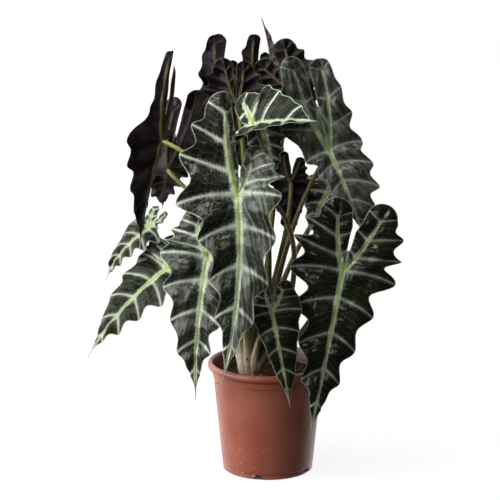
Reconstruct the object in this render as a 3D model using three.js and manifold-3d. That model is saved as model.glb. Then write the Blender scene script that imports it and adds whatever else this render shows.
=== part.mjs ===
// Potted alocasia: an arrowhead-leaved aroid in a round plastic nursery pot, millimetres, +Z up.
// The pot stands on the plane Z = 0 and its axis is the Z axis; the front of the plant faces -Y.
import * as THREE from "three";
import { mergeVertices } from "three/addons/utils/BufferGeometryUtils.js";
import Module from "manifold-3d";

const wasm = await Module();
wasm.setup();

// Driving dimensions of the pot, a common 12 cm nursery pot.
const POT_HEIGHT = 110;
const RIM_RADIUS = 60;
const FOOT_RADIUS = 44.6;
const SHOULDER_RADIUS = 54;
const SHOULDER_Z = 94;
const WALL = 1.5;
const FLOOR_Z = 5;
const FLOOR_THICKNESS = 1.6;
const POT_SEGMENTS = 36;
const CHANNELS = 5;
const CHANNEL_WIDTH = 11;
const CHANNEL_HEIGHT = 5;
const CHANNEL_START = THREE.MathUtils.degToRad(-104);
const DRAIN_RADIUS = 3.5;
const DRAIN_CIRCLE = 25;

// Soil, filled to a little under the rim, with a hole where the crown stands.
const GAP = 0.3;
const SOIL_Z = 95;
const SOIL_RELIEF = 1.3;

// Crown: the swollen stem with the sheathed feet of the stalks round it.
const CROWN = new THREE.Vector3(-15, 0, 0);
const CROWN_FOOT_Z = 72;
const CROWN_FOOT_RADIUS = 7;
const CROWN_SHOULDER_Z = 84;
const CORE_RADIUS = 10;
const CORE_TOP_Z = 112;
const HOLE_RADII = [9, 16.4, 18.6];
const HOLE_TOP_Z = 104;
const OUTER_RING = 15.5;
const OUTER_SLOTS = 13;
const INNER_RING = 7.6;
const INNER_SLOTS = 5;
const STALK_FOOT_RADIUS = 3.3;
const STALK_END_RADIUS = 1.9;
const STALK_SIDES = 6;
const STALK_STEPS = 8;

// A sheath starts above the crown's foot, on a ring narrower than the stalks' own, and swells downwards.
const SHEATH_START = 9;
const SHEATH_STAGGER = 0.17;
const SHEATH_RING = 0.5;
const SHEATH_SWELL = 1.25;
const SHEATH_RISE = 0.4;
const SHEATH_LEAN = 0.3;
const SHEATH_STEPS = 3;

// Blades: a thin sheet with raised midrib, posterior ribs and side veins.
const BLADE_THICKNESS = 0.8;
const UPPER_RIB = 0.6;
const LOWER_RIB = 1.3;
const UPPER_VEIN = 0.25;
const LOWER_VEIN = 0.6;
const RIB_STEPS = 24;
const RIB_WIDTH = 2.4;
const RING_COUNT = 4;
const WAVE_WIDTH = 44;
const FULL_RELIEF_WIDTH = 25;

// One side of a blade is walked by a phase that runs from the notch between the two lobes (-5), round the
// lobe (-2.5) and past the stalk (1) to the apex (6). Each whole phase is a side vein. Negative feet are
// shares of the lobe's rib and positive feet are shares of the midrib. Reach is a share of the half width.
// The lobe's tip is domed by LOBE_DOME. Inside the notch the margin follows the lobe's rib at the leaf's
// inner share of the half width, leaning forward by LEAN. The leaf's web is how far the blade fills the notch.
const PHASE = [-5, -4, -3, -2.5, -2, -1, 0, 1, 2, 3, 4, 5, 6];
const FOOT = [0, -0.52, -1, -1, -1, -0.62, -0.28, 0, 0.15, 0.35, 0.56, 0.76, 1];
const ANGLE = [0, 0, -60, 0, 55, 52, 60, 100, 84, 74, 64, 50, 12];
const REACH = [0, 0, 0.34, 0.36, 0.4, 0.66, 0.92, 1, 0.82, 0.66, 0.48, 0.21, 0];
const TIP_REACH = 0.21;
const TIP_HALF_WIDTH = 1.8;
const TIP_POWER = 2.2;
const LOBE_DOME = 0.15;
const LOBE_PHASE = -2.5;
const STALK_PHASE = 1;
const APEX_PHASE = 6;
const SWEEP_PHASE = [-5, -1, 0, 1, 5, 6];
const SWEEP = [0, -6, 0, 30, 26, 0];
const LEAN = 0.17;
const WEB = 0.4;
const WEB_BLEND = 0.15;
const NOTCH_LIMIT = 0.85;

// A rib's control points stand at thirds of its run and bulge a little away from the midrib.
const THIRDS = [0.33, 0.67];
const RIB_BULGE = [0.07, 0.05];
const FAN_SHARE = 0.36;

// Between its two side veins each margin sinks in; the fan round a lobe's tip has none of this.
const SINUS_POWER = 1.3;
const LOBING_FADE_PHASE = 4;
const JUNCTION_ANGLE = 100;
const JUNCTION_TURN = 22;
const EDGE_SHARES = [0.08, 0.4];

// Every leaf: its junction with the stalk, apex, lobe tips, the way its upper face looks, and the half
// widths of its two sides in the order of the lobes. Slot is its place in the crown, outer ones first.
// Bend holds the two control points between the stalk's foot and the junction.
const LEAVES = {
  front: {
    at: [-29, -85, 293], tip: [-46, -80, 105], lobes: [[-43, -62, 386], [-13, -40, 329]],
    face: [0.05, -1, 0.15], width: [50, 38], fold: [-5, 32], curl: [10, -20],
    lobeFold: [0, 50], lobeCurl: [10, -20], bow: 6, sway: -8, wave: 6, belly: [-0.15, 0.15], seed: 1,
    slot: 11, foot: 112, bend: [[45, -15, 190], [30, -60, 300]],
  },
  frontLeft: {
    at: [-58, -55, 226], tip: [-70, -58, 85], lobes: [[-73, -35, 270], [-41, -30, 272]],
    face: [-0.1, -1, 0.2], width: [42, 32], fold: [0, 25], curl: [-10, -10],
    bow: 6, sway: 3, belly: [0.1, 0.1], seed: 2,
    slot: 9, foot: 128, bend: [[-25, -20, 215], [-50, -32, 235]],
  },
  lowLeft: {
    at: [-100, -12, 204], tip: [-176, -36, 122], lobes: [[-92, 14, 234], [-68, -18, 221]],
    face: [-0.45, -0.6, 0.65], width: [41, 38], bow: 8, wave: 3, seed: 3,
    slot: 8, foot: 128, bend: [[-38, -12, 196], [-86, 8, 185]],
  },
  backLeft: {
    at: [-119, 26, 236], tip: [-161, 12, 188], lobes: [[-112, 42, 257], [-99, 23, 253]],
    face: [-0.6, -0.5, 0.6], width: [28, 24], bow: 6, lobe: [0.4, 0.4], seed: 4,
    slot: 6, foot: 128, bend: [[-48, 14, 200], [-100, 44, 214]],
  },
  farLeft: {
    at: [-103, 0, 330], tip: [-126, 0, 223], lobes: [[-94, 5, 416], [-90, 25, 399]],
    face: [-0.5, 0.85, 0.05], width: [36, 30], fold: [5, 55], curl: [-10, 0],
    lobeFold: [5, 60], lobeCurl: [10, 0], lobe: [0.4, 0.4], bow: 4, seed: 5,
    slot: 7, foot: 132, bend: [[-32, -6, 300], [-75, -25, 322]],
  },
  upperLeft: {
    at: [-100, 45, 295], tip: [-107, 85, 246], lobes: [[-90, 30, 368], [-67, 35, 374]],
    face: [-0.2, 0.8, 0.5], width: [31, 27], fold: [5, 5], curl: [-10, -10], bow: 4, inner: 0.9,
    web: 0.6, seed: 6,
    slot: 5, foot: 132, bend: [[-40, 18, 262], [-86, 16, 280]],
  },
  topLeft: {
    at: [-46, 60, 366], tip: [-63, 70, 294], lobes: [[-53, 50, 427], [-34, 66, 400]],
    face: [-0.3, 1, 0.1], width: [22, 26], bow: 4, inner: 0.9, web: 0.8, seed: 7,
    slot: 4, foot: 132, bend: [[-20, 48, 240], [-42, 44, 346]],
  },
  top: {
    at: [-30, 22, 363], tip: [-25, 38, 289], lobes: [[-46, 25, 407], [-22, 30, 404]],
    face: [0, 1, 0.2], width: [32, 26], bow: 4, inner: 0.9, web: 0.8, seed: 8,
    slot: 15, foot: 136, bend: [[-14, 4, 260], [-27, 0, 350]],
  },
  topBack: {
    at: [-12, 92, 369], tip: [-18, 112, 292], lobes: [[-14, 85, 424], [-2, 93, 405]],
    face: [0, 1, 0.1], width: [18, 18], bow: 4, inner: 0.9, seed: 9,
    slot: 14, foot: 136, bend: [[-12, 40, 265], [-12, 64, 362]],
  },
  young: {
    at: [3, 52, 396], tip: [-7, 50, 444], lobes: [[6, 58, 376], [12, 48, 378]],
    face: [0.8, 0.6, 0.1], width: [10, 10], fold: [35, 35], curl: [0, 0], bow: 2, lobe: [0.6, 0.6], seed: 10,
    slot: 3, foot: 132, bend: [[0, 28, 262], [-6, 38, 376]],
  },
  topRight: {
    at: [21, 28, 377], tip: [50, 55, 312], lobes: [[-12, 35, 401], [16, 35, 425]],
    face: [0.1, 1, 0.2], width: [28, 28], bow: 4, inner: 0.9, web: 0.8, seed: 11,
    slot: 2, foot: 132, bend: [[4, 46, 270], [18, 10, 358]],
  },
  right: {
    at: [58, -15, 322], tip: [92, -35, 241], lobes: [[18, -12, 412], [50, 5, 409]],
    face: [0.1, -1, 0.3], width: [22, 30], bow: 8, lobe: [1.6, 0.85], belly: [0.05, 0.65], inner: 0.9,
    web: 0.6, seed: 12,
    slot: 0, foot: 130, bend: [[8, -16, 220], [38, -4, 290]],
  },
  lowRight: {
    at: [70, -60, 214], tip: [39, -62, 47], lobes: [[64, -50, 284], [117, -40, 273]],
    face: [0.05, -1, 0.15], width: [44, 44], bow: 6, belly: [0, -0.08], inner: 0.3, lobing: 0.2, seed: 13,
    slot: 12, foot: 108, bend: [[35, -20, 130], [60, -35, 200]],
  },
  lowFront: {
    at: [3, -80, 179], tip: [21, -80, 84], lobes: [[-6, -62, 202], [18, -62, 206]],
    face: [0, -1, 0.2], width: [20, 28], bow: 6, lobing: 0.04, wave: 1.5, seed: 14,
    slot: 10, foot: 118, bend: [[0, -30, 170], [5, -55, 190]],
  },
  middle: {
    at: [-14, -28, 348], tip: [44, -80, 361], lobes: [[-27, 4, 373], [-42, -16, 325]],
    face: [-0.6, -0.63, 0.45], width: [44, 36], fold: [0, 50], curl: [-10, 0],
    lobeFold: [0, 30], lobe: [0.65, 0.5], bow: 5, wave: 1, lobing: 0.03, seed: 15,
    slot: 16, foot: 136, bend: [[-4, -30, 230], [2, -20, 328]],
  },
  inner: {
    at: [-6, 0, 345], tip: [6, -8, 293], lobes: [[-14, 10, 364], [6, 10, 365]],
    face: [0.1, -1, 0.1], width: [22, 24], bow: 4, lobe: [0.6, 0.6], seed: 16,
    slot: 17, foot: 136, bend: [[14, -26, 205], [-12, 16, 312]],
  },
  innerLow: {
    at: [22, 3, 289], tip: [19, 5, 224], lobes: [[14, 9, 318], [33, 9, 312]],
    face: [0.1, 1, 0.1], width: [20, 20], bow: 4, lobe: [0.7, 0.7], seed: 17,
    slot: 13, foot: 136, bend: [[14, 2, 215], [24, -16, 272]],
  },
  innerRight: {
    at: [62, 12, 283], tip: [39, 0, 236], lobes: [[61, 24, 309], [83, 13, 300]],
    face: [-0.3, -0.9, 0.3], width: [26, 26], bow: 4, lobe: [0.7, 0.7], seed: 18,
    slot: 1, foot: 132, bend: [[20, 18, 230], [70, 34, 272]],
  },
};

const clamp = THREE.MathUtils.clamp;
const radians = THREE.MathUtils.degToRad;
const smooth = (x) => THREE.MathUtils.smoothstep(x, 0, 1);
const mix = THREE.MathUtils.lerp;
const vector = (p) => new THREE.Vector3(...p);

// Reads a table of values kept at the phases xs, with straight lines between them.
function read(xs, values, x) {
  let i = 0;
  while (i < xs.length - 2 && x > xs[i + 1]) i += 1;
  return mix(values[i], values[i + 1], clamp((x - xs[i]) / (xs[i + 1] - xs[i]), 0, 1));
}

// A rib's curve with an up direction carried along it.
class Spine {
  constructor(points, up) {
    this.curve = new THREE.CubicBezierCurve3(...points);
    this.ups = [];
    let carried = up.clone();
    for (let i = 0; i <= RIB_STEPS; i += 1) {
      carried = carried.clone().projectOnPlane(this.curve.getTangent(i / RIB_STEPS)).normalize();
      this.ups.push(carried);
    }
  }

  frame(share) {
    const x = share * RIB_STEPS;
    const i = Math.min(RIB_STEPS - 1, Math.floor(x));
    return {
      at: this.curve.getPoint(share),
      along: this.curve.getTangent(share),
      up: this.ups[i].clone().lerp(this.ups[i + 1], x - i).normalize(),
    };
  }
}

// The middle surface of one leaf, as ribs from its skeleton to its margin.
class Leaf {
  constructor(spec) {
    this.spec = { bow: 0, sway: 0, fold: [10, 10], curl: [-20, -20], lobe: [1, 1], belly: [0, 0], ...spec };
    this.spec = { lobing: 0.14, wave: 4, inner: 0.2, web: WEB, ...this.spec };
    const { face, bow, sway, lobes } = this.spec;
    this.at = vector(this.spec.at);
    const tip = vector(this.spec.tip);
    const chord = tip.clone().sub(this.at);
    const up = vector(face).projectOnPlane(chord.clone().normalize()).normalize();
    const across = chord.clone().normalize().cross(up);
    const push = up.clone().multiplyScalar((bow * 4) / 3).addScaledVector(across, (sway * 4) / 3);
    const near = this.at.clone().addScaledVector(chord, THIRDS[0]).add(push);
    const far = this.at.clone().addScaledVector(chord, THIRDS[1]).add(push);
    this.midrib = new Spine([this.at, near, far, tip], up);
    const start = this.midrib.frame(0);
    this.along = start.along;
    this.up = start.up;
    this.across = this.along.clone().cross(this.up);
    const [first, second] = lobes.map((p) => vector(p).sub(this.at));
    const order = first.clone().sub(second).dot(this.across) < 0 ? [1, 0] : [0, 1];
    this.sides = order.map((index, i) => this.side(index, i === 0 ? 1 : -1));
    this.notch = this.sides[0].rib.frame(0).along.clone().add(this.sides[1].rib.frame(0).along).normalize();
    this.web = this.spec.web * Math.min(...this.sides.map((side) => side.run));
    this.size = clamp(Math.min(...this.sides.map((side) => side.half)) / FULL_RELIEF_WIDTH, 0.3, 1);
  }

  side(index, hand) {
    const { lobes, width, fold, curl, lobeFold, lobeCurl, lobe, belly } = this.spec;
    const reach = vector(lobes[index]).sub(this.at);
    const half = width[index];
    const fan = FAN_SHARE * (1 + LOBE_DOME) * half * lobe[index];
    const run = reach.clone().multiplyScalar(Math.max(0.5, 1 - fan / reach.length()));
    const out = this.across.clone().multiplyScalar(hand * run.length());
    const points = [
      this.at,
      this.at.clone().addScaledVector(run, THIRDS[0]).addScaledVector(out, RIB_BULGE[0]),
      this.at.clone().addScaledVector(run, THIRDS[1]).addScaledVector(out, RIB_BULGE[1]),
      this.at.clone().add(run),
    ];
    return {
      hand, half, run: run.length(), rib: new Spine(points, this.up), fold: fold[index], curl: curl[index],
      lobeFold: (lobeFold || fold)[index], lobeCurl: (lobeCurl || curl)[index],
      lobe: lobe[index], belly: belly[index],
    };
  }

  // How far the margin lies from the skeleton at a phase.
  length(side, q) {
    const { lobing, seed } = this.spec;
    const index = side.hand > 0 ? 0 : 1;
    const x = clamp(q - 5, 0, 1);
    const drip = TIP_REACH * (1 - x) ** TIP_POWER + 0.03 * Math.sqrt(1 - x);
    let reach = q > 5 ? drip : read(PHASE, REACH, q);
    reach *= 1 + (side.lobe - 1) * (1 - smooth(q));
    reach *= 1 + LOBE_DOME * clamp(1 - (2 * (q - LOBE_PHASE)) ** 2, 0, 1);
    reach *= 1 + side.belly * Math.sin(Math.PI * clamp((q - 1) / 4.6, 0, 1));
    const sinus = 1 - 2 * Math.abs(Math.sin(Math.PI * q)) ** SINUS_POWER;
    const pulse = sinus * smooth(Math.abs(q - LOBE_PHASE) - 0.5) * (1 - smooth(q - LOBING_FADE_PHASE));
    const vary = 1 + 0.25 * Math.sin(2.3 * q + 5.1 * seed + 1.7 * index);
    const length = side.half * reach * (1 + lobing * vary * pulse);
    return q < APEX_PHASE ? Math.max(length, TIP_HALF_WIDTH) : 0;
  }

  // From the lobe's rib to the margin inside the notch, which never reaches the other lobe.
  inward(side, foot, base) {
    const offset = base.clone().sub(this.at);
    const away = offset.clone().projectOnPlane(this.notch);
    const { inner, web } = this.spec;
    const forward = mix(this.web - offset.dot(this.notch), LEAN * side.half, smooth(foot / (web + WEB_BLEND)));
    const across = Math.min(inner * side.half, NOTCH_LIMIT * away.length());
    return this.notch.clone().multiplyScalar(forward).addScaledVector(away.normalize(), -across);
  }

  // The points of one rib from the skeleton to the margin, one for each ring.
  points(side, q) {
    const { wave, seed } = this.spec;
    const { hand } = side;
    const foot = read(PHASE, FOOT, q);
    const onMidrib = q >= STALK_PHASE;
    const base = onMidrib ? this.midrib.frame(foot) : side.rib.frame(-foot);
    const out = base.along.clone().cross(base.up).multiplyScalar(onMidrib ? hand : -hand);
    const angle = radians(read(PHASE, ANGLE, q));
    const sweep = radians(read(SWEEP_PHASE, SWEEP, q));
    const blend = smooth((q + 1) / 2.5);
    const middle = q < 1 ? smooth((clamp(q, -0.4, 1) + 0.4) / 1.4) : 0;
    const inward = q < -3 ? this.inward(side, -foot, base.at) : null;
    const flatten = smooth(q + 3) * (1 - 0.7 * smooth((q - 4.4) / 1.4));
    const fold = radians(mix(side.lobeFold, side.fold, blend)) * flatten;
    const curl = radians(mix(side.lobeCurl, side.curl, blend)) * flatten;
    const centre = radians(JUNCTION_ANGLE + JUNCTION_TURN * (1 - clamp(q, 0, 1)));
    const up = base.up.clone().lerp(this.up, q < -4 ? -4 - q : middle);
    const direction = (share) => {
      if (inward) return inward.clone().normalize();
      const turn = angle - sweep * share;
      const turnHere = centre - sweep * share;
      const flat = base.along.clone().multiplyScalar(Math.cos(turn)).addScaledVector(out, Math.sin(turn));
      const flatHere = this.along.clone().multiplyScalar(Math.cos(turnHere))
        .addScaledVector(this.across, Math.sin(turnHere) * hand);
      return flat.lerp(flatHere, middle).normalize();
    };
    const length = inward ? inward.length() : this.length(side, q);
    const ripple = (-Math.cos(2 * Math.PI * q) * smooth(Math.abs(q - LOBE_PHASE) - 0.5)
      + 0.5 * Math.sin(1.9 * q + 3 * seed + 2 * (hand > 0 ? 0 : 1)))
      * smooth((q + 5) / 2.5) * smooth((6 - q) / 1.6);
    const size = (wave * side.half) / WAVE_WIDTH;
    const lift = size * ripple * Math.sqrt(clamp(length / side.half, 0, 1));
    const fine = [];
    const at = base.at.clone();
    let before = null;
    for (let i = 0; i <= RIB_STEPS; i += 1) {
      const share = i / RIB_STEPS;
      const flat = direction(share);
      const normal = up.clone().projectOnPlane(flat).normalize();
      const tilt = fold + curl * share;
      const step = flat.clone().multiplyScalar(Math.cos(tilt)).addScaledVector(normal, Math.sin(tilt));
      const rise = normal.clone().multiplyScalar(Math.cos(tilt)).addScaledVector(flat, -Math.sin(tilt));
      if (before) at.addScaledVector(before.clone().add(step), length / 2 / RIB_STEPS);
      before = step;
      fine.push(at.clone().addScaledVector(rise, lift * share * share));
    }
    const edge = clamp(RIB_WIDTH / length, ...EDGE_SHARES);
    return [0, edge, (1 + edge) / 2, 1].map((share) => {
      const i = Math.min(RIB_STEPS - 1, Math.floor(share * RIB_STEPS));
      return fine[i].clone().lerp(fine[i + 1], share * RIB_STEPS - i);
    });
  }

  // Phases along one side. The lobe's inner ribs stand at the same feet as its outer ones.
  stations() {
    const outer = [];
    for (let q = -2; q <= 1; q += 0.5) outer.push(q);
    const inner = outer.map((q) => -read(PHASE.slice(4), FOOT.slice(4), q))
      .map((foot) => (foot < 0.52 ? -5 + foot / 0.52 : -4 + (foot - 0.52) / 0.48))
      .reverse();
    const front = [];
    for (let q = 1.5; q <= APEX_PHASE; q += 0.5) front.push(q);
    return [...inner, LOBE_PHASE, ...outer, ...front];
  }
}

// Gathers points that lie together into one numbered list.
class Points {
  constructor() {
    this.list = [];
    this.known = new Map();
  }

  number(p) {
    const key = [p.x, p.y, p.z].map((v) => Math.round(v * 500)).join();
    if (!this.known.has(key)) {
      this.known.set(key, this.list.length);
      this.list.push({ at: p.clone(), normal: new THREE.Vector3(), above: 0, below: 0 });
    }
    return this.known.get(key);
  }
}

// How much a point stands out above and below the sheet: ribs are highest at the stalk, veins in mid blade.
function relief(q, ring, size) {
  const foot = Math.abs(read(PHASE, FOOT, q));
  const vein = size * (0.5 + 0.5 * Math.cos(2 * Math.PI * q));
  if (ring === 0) return [size * UPPER_RIB * (1 - 0.75 * foot), size * LOWER_RIB * (1 - 0.8 * foot)];
  if (ring === RING_COUNT - 1) return [0, 0];
  return [UPPER_VEIN * vein, LOWER_VEIN * vein * (1 - 0.6 * foot)];
}

// Closes the middle surface of a leaf into a thin solid with its ribs and veins raised.
function bladeGeometry(leaf) {
  const points = new Points();
  const triangles = [];
  const stations = leaf.stations();
  for (const side of leaf.sides) {
    const grid = stations.map((q) => leaf.points(side, q).map((p, ring) => {
      const n = points.number(p);
      const [above, below] = relief(q, ring, leaf.size);
      points.list[n].above = Math.max(points.list[n].above, above);
      points.list[n].below = Math.max(points.list[n].below, below);
      return n;
    }));
    for (let i = 0; i + 1 < stations.length; i += 1) {
      for (let k = 0; k + 1 < RING_COUNT; k += 1) {
        const [a, b, c, d] = [grid[i][k], grid[i + 1][k], grid[i + 1][k + 1], grid[i][k + 1]];
        const pair = [[a, b, c], [a, c, d]];
        for (const t of pair) triangles.push(side.hand > 0 ? [t[0], t[2], t[1]] : t);
      }
    }
  }
  const faces = triangles.filter(([a, b, c]) => a !== b && b !== c && c !== a);
  for (const [a, b, c] of faces) {
    const [p, q, r] = [a, b, c].map((n) => points.list[n].at);
    const normal = q.clone().sub(p).cross(r.clone().sub(p));
    for (const n of [a, b, c]) points.list[n].normal.add(normal);
  }
  const count = points.list.length;
  const upper = points.list.map((p) => p.at.clone()
    .addScaledVector(p.normal.normalize(), BLADE_THICKNESS / 2 + p.above));
  const lower = points.list.map((p) => p.at.clone().addScaledVector(p.normal, -BLADE_THICKNESS / 2 - p.below));
  const index = [];
  const edges = new Map();
  for (const [a, b, c] of faces) {
    index.push(a, b, c, a + count, c + count, b + count);
    for (const [m, n] of [[a, b], [b, c], [c, a]]) {
      if (!edges.delete(`${n},${m}`)) edges.set(`${m},${n}`, [m, n]);
    }
  }
  for (const [m, n] of edges.values()) index.push(m, m + count, n + count, m, n + count, n);
  return indexed([...upper, ...lower].flatMap((p) => p.toArray()), index);
}

function indexed(positions, index) {
  const geometry = new THREE.BufferGeometry();
  geometry.setAttribute("position", new THREE.Float32BufferAttribute(positions, 3));
  geometry.setIndex(index);
  return geometry;
}

// Keeps only the positions of a geometry and merges those that lie together.
function welded(geometry) {
  const plain = geometry.clone();
  for (const name of Object.keys(plain.attributes)) {
    if (name !== "position") plain.deleteAttribute(name);
  }
  return mergeVertices(plain, 1e-4);
}

function solid(geometry) {
  const closed = welded(geometry);
  return new wasm.Manifold(new wasm.Mesh({
    numProp: 3,
    vertProperties: new Float32Array(closed.attributes.position.array),
    triVerts: new Uint32Array(closed.index.array),
  }));
}

function fromSolid(made) {
  const mesh = made.getMesh();
  return indexed(Array.from(mesh.vertProperties), Array.from(mesh.triVerts));
}

// A round tapered stalk: a cylinder laid along a curve.
function stalkGeometry(curve, startRadius, endRadius, steps = STALK_STEPS) {
  const tube = welded(new THREE.CylinderGeometry(endRadius, startRadius, 1, STALK_SIDES, steps));
  const frames = curve.computeFrenetFrames(steps, false);
  const position = tube.attributes.position;
  for (let i = 0; i < position.count; i += 1) {
    const row = Math.round((position.getY(i) + 0.5) * steps);
    const p = curve.getPointAt(row / steps)
      .addScaledVector(frames.normals[row], position.getZ(i))
      .addScaledVector(frames.binormals[row], position.getX(i));
    position.setXYZ(i, p.x, p.y, p.z);
  }
  return tube;
}

// The place of a stalk's foot in the crown.
function slotPlace(slot, z, ringShare = 1) {
  const outer = slot < OUTER_SLOTS;
  const turn = outer ? slot / OUTER_SLOTS : (slot - OUTER_SLOTS + 0.5) / INNER_SLOTS;
  const radius = (outer ? OUTER_RING : INNER_RING) * ringShare;
  const angle = turn * 2 * Math.PI;
  return new THREE.Vector3(CROWN.x + radius * Math.cos(angle), CROWN.y + radius * Math.sin(angle), z);
}

function stalkCurve(leaf) {
  const { slot, foot, bend } = leaf.spec;
  const [low, high] = bend.map(vector);
  const start = slotPlace(slot, foot);
  const lean = leaf.at.clone().sub(high).normalize();
  const tilt = lean.angleTo(leaf.up);
  const clear = BLADE_THICKNESS / 2 + LOWER_RIB * leaf.size + 1.5 * GAP + STALK_END_RADIUS * Math.sin(tilt);
  const end = leaf.at.clone().addScaledVector(leaf.up, -clear);
  return new THREE.CubicBezierCurve3(start, low, high, end);
}

// The sheath is the stalk's foot, which leans out of the crown and stops just under the stalk.
function sheathGeometry(leaf) {
  const curve = stalkCurve(leaf);
  const top = curve.getPoint(0);
  const lean = curve.getTangent(0);
  const { slot, foot } = leaf.spec;
  const low = slotPlace(slot, CROWN_FOOT_Z + SHEATH_START + slot * SHEATH_STAGGER, SHEATH_RING);
  const under = top.clone().addScaledVector(lean, -GAP);
  const path = new THREE.CubicBezierCurve3(
    low,
    new THREE.Vector3(0, 0, (foot - low.z) * SHEATH_RISE).add(low),
    under.clone().addScaledVector(lean, -(foot - low.z) * SHEATH_LEAN),
    under,
  );
  return stalkGeometry(path, STALK_FOOT_RADIUS * SHEATH_SWELL, STALK_FOOT_RADIUS, SHEATH_STEPS);
}

function crownGeometry(leaves) {
  const profile = [
    [0, CROWN_FOOT_Z], [CROWN_FOOT_RADIUS, CROWN_FOOT_Z],
    [CORE_RADIUS, CROWN_SHOULDER_Z], [CORE_RADIUS, CORE_TOP_Z - 8],
    [CORE_RADIUS - 1, CORE_TOP_Z - 4], [CORE_RADIUS - 6, CORE_TOP_Z], [0, CORE_TOP_Z + 2],
  ];
  const core = new THREE.LatheGeometry(profile.map(([r, z]) => new THREE.Vector2(r, z)), 12);
  core.rotateX(Math.PI / 2).translate(CROWN.x, CROWN.y, 0);
  return fromSolid(wasm.Manifold.union([solid(core), ...leaves.map((leaf) => solid(sheathGeometry(leaf)))]));
}

// Radius of the pot's inner wall at a height.
const innerRadius = (z) => mix(FOOT_RADIUS, SHOULDER_RADIUS, z / SHOULDER_Z) - WALL;

function potGeometry() {
  const padRadius = 14;
  const ringRadius = 35;
  const floorTop = FLOOR_Z + FLOOR_THICKNESS;
  const profile = [
    [0, 0], [padRadius, 0], [padRadius + 2, FLOOR_Z], [ringRadius, FLOOR_Z], [ringRadius + 1, 0],
    [FOOT_RADIUS - 0.4, 0], [FOOT_RADIUS, 0.4], [FOOT_RADIUS, FLOOR_Z], [FOOT_RADIUS + 0.6, FLOOR_Z + 0.6],
    [SHOULDER_RADIUS, SHOULDER_Z], [SHOULDER_RADIUS + 0.5, SHOULDER_Z + 0.6],
    [SHOULDER_RADIUS + 1, 101], [57.4, 102.4], [59.3, 103.4], [RIM_RADIUS, 105.4], [59.6, 108],
    [58.3, 109.5], [57, POT_HEIGHT], [55.8, 109.4], [54.9, 107.6], [54.2, 104.6],
    [innerRadius(SHOULDER_Z) + 0.6, 99], [innerRadius(SHOULDER_Z), SHOULDER_Z - 2],
    [innerRadius(12), 12], [innerRadius(floorTop) - 1.6, floorTop], [0, floorTop],
  ];
  const shell = new THREE.LatheGeometry(profile.map(([r, z]) => new THREE.Vector2(r, z)), POT_SEGMENTS);
  shell.rotateX(Math.PI / 2);
  const cuts = [];
  for (let i = 0; i < CHANNELS; i += 1) {
    const turn = CHANNEL_START + (i * 2 * Math.PI) / CHANNELS;
    const channel = new THREE.CylinderGeometry(
      CHANNEL_WIDTH * 0.6, CHANNEL_WIDTH * 0.72, CHANNEL_HEIGHT + 1, 4, 1, false, Math.PI / 4);
    channel.scale(2, 1, 1).rotateX(Math.PI / 2);
    channel.translate(FOOT_RADIUS - 1, 0, CHANNEL_HEIGHT / 2 - 0.5).rotateZ(turn);
    const drain = new THREE.CylinderGeometry(DRAIN_RADIUS, DRAIN_RADIUS, 6, 12);
    drain.rotateX(Math.PI / 2).translate(DRAIN_CIRCLE, 0, FLOOR_Z + 1).rotateZ(turn);
    cuts.push(solid(channel), solid(drain));
  }
  return fromSolid(solid(shell).subtract(wasm.Manifold.union(cuts)));
}

function soilGeometry() {
  const floor = FLOOR_Z + FLOOR_THICKNESS + GAP;
  const edge = innerRadius(SOIL_Z) - GAP - 0.4;
  const profile = [
    [0, floor], [innerRadius(floor) - 1.6 - GAP, floor], [innerRadius(12) - GAP - 0.2, 12], [edge, SOIL_Z],
    [46, SOIL_Z + 0.5], [39, SOIL_Z + 1], [32, SOIL_Z + 1.4], [25, SOIL_Z + 1.8], [0, SOIL_Z + 2],
  ];
  const bed = welded(new THREE.LatheGeometry(profile.map(([r, z]) => new THREE.Vector2(r, z)), 24));
  bed.rotateX(Math.PI / 2);
  const position = bed.attributes.position;
  for (let i = 0; i < position.count; i += 1) {
    const [x, y, z] = [position.getX(i), position.getY(i), position.getZ(i)];
    if (z < SOIL_Z + 0.1) continue;
    const bump = Math.sin(0.31 * x + 1) * Math.cos(0.27 * y) + 0.6 * Math.sin(0.73 * x - 0.58 * y);
    position.setZ(i, z + (SOIL_RELIEF * bump) / 1.6);
  }
  const [footRadius, shoulderRadius, topRadius] = HOLE_RADII;
  const holeProfile = [
    [0, CROWN_FOOT_Z - GAP], [footRadius, CROWN_FOOT_Z - GAP], [shoulderRadius, CROWN_SHOULDER_Z],
    [topRadius, HOLE_TOP_Z], [0, HOLE_TOP_Z],
  ];
  const hole = new THREE.LatheGeometry(holeProfile.map(([r, z]) => new THREE.Vector2(r, z)), 16);
  hole.rotateX(Math.PI / 2).translate(CROWN.x, CROWN.y, 0);
  return fromSolid(solid(bed).subtract(solid(hole)));
}

const MATERIALS = {
  pot: new THREE.MeshStandardMaterial({ color: 0xb5674a, roughness: 0.55, metalness: 0 }),
  soil: new THREE.MeshStandardMaterial({ color: 0x2a1c14, roughness: 1, metalness: 0 }),
  crown: new THREE.MeshStandardMaterial({ color: 0x9a8a63, roughness: 0.6, metalness: 0 }),
  stalk: new THREE.MeshStandardMaterial({ color: 0x6b7a3c, roughness: 0.45, metalness: 0 }),
  blade: new THREE.MeshStandardMaterial({ color: 0x1f3a28, roughness: 0.35, metalness: 0 }),
};

function named(name, geometry, material) {
  const mesh = new THREE.Mesh(geometry, material.clone());
  mesh.name = name;
  return mesh;
}

const group = new THREE.Group();
const leaves = Object.values(LEAVES).map((spec) => new Leaf(spec));
group.add(named("pot", potGeometry(), MATERIALS.pot));
group.add(named("soil", soilGeometry(), MATERIALS.soil));
group.add(named("crown", crownGeometry(leaves), MATERIALS.crown));
Object.keys(LEAVES).forEach((name, i) => {
  const stalk = stalkGeometry(stalkCurve(leaves[i]), STALK_FOOT_RADIUS, STALK_END_RADIUS);
  group.add(named(`stalk_${name}`, stalk, MATERIALS.stalk));
  group.add(named(`blade_${name}`, bladeGeometry(leaves[i]), MATERIALS.blade));
});

export default group;
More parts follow.
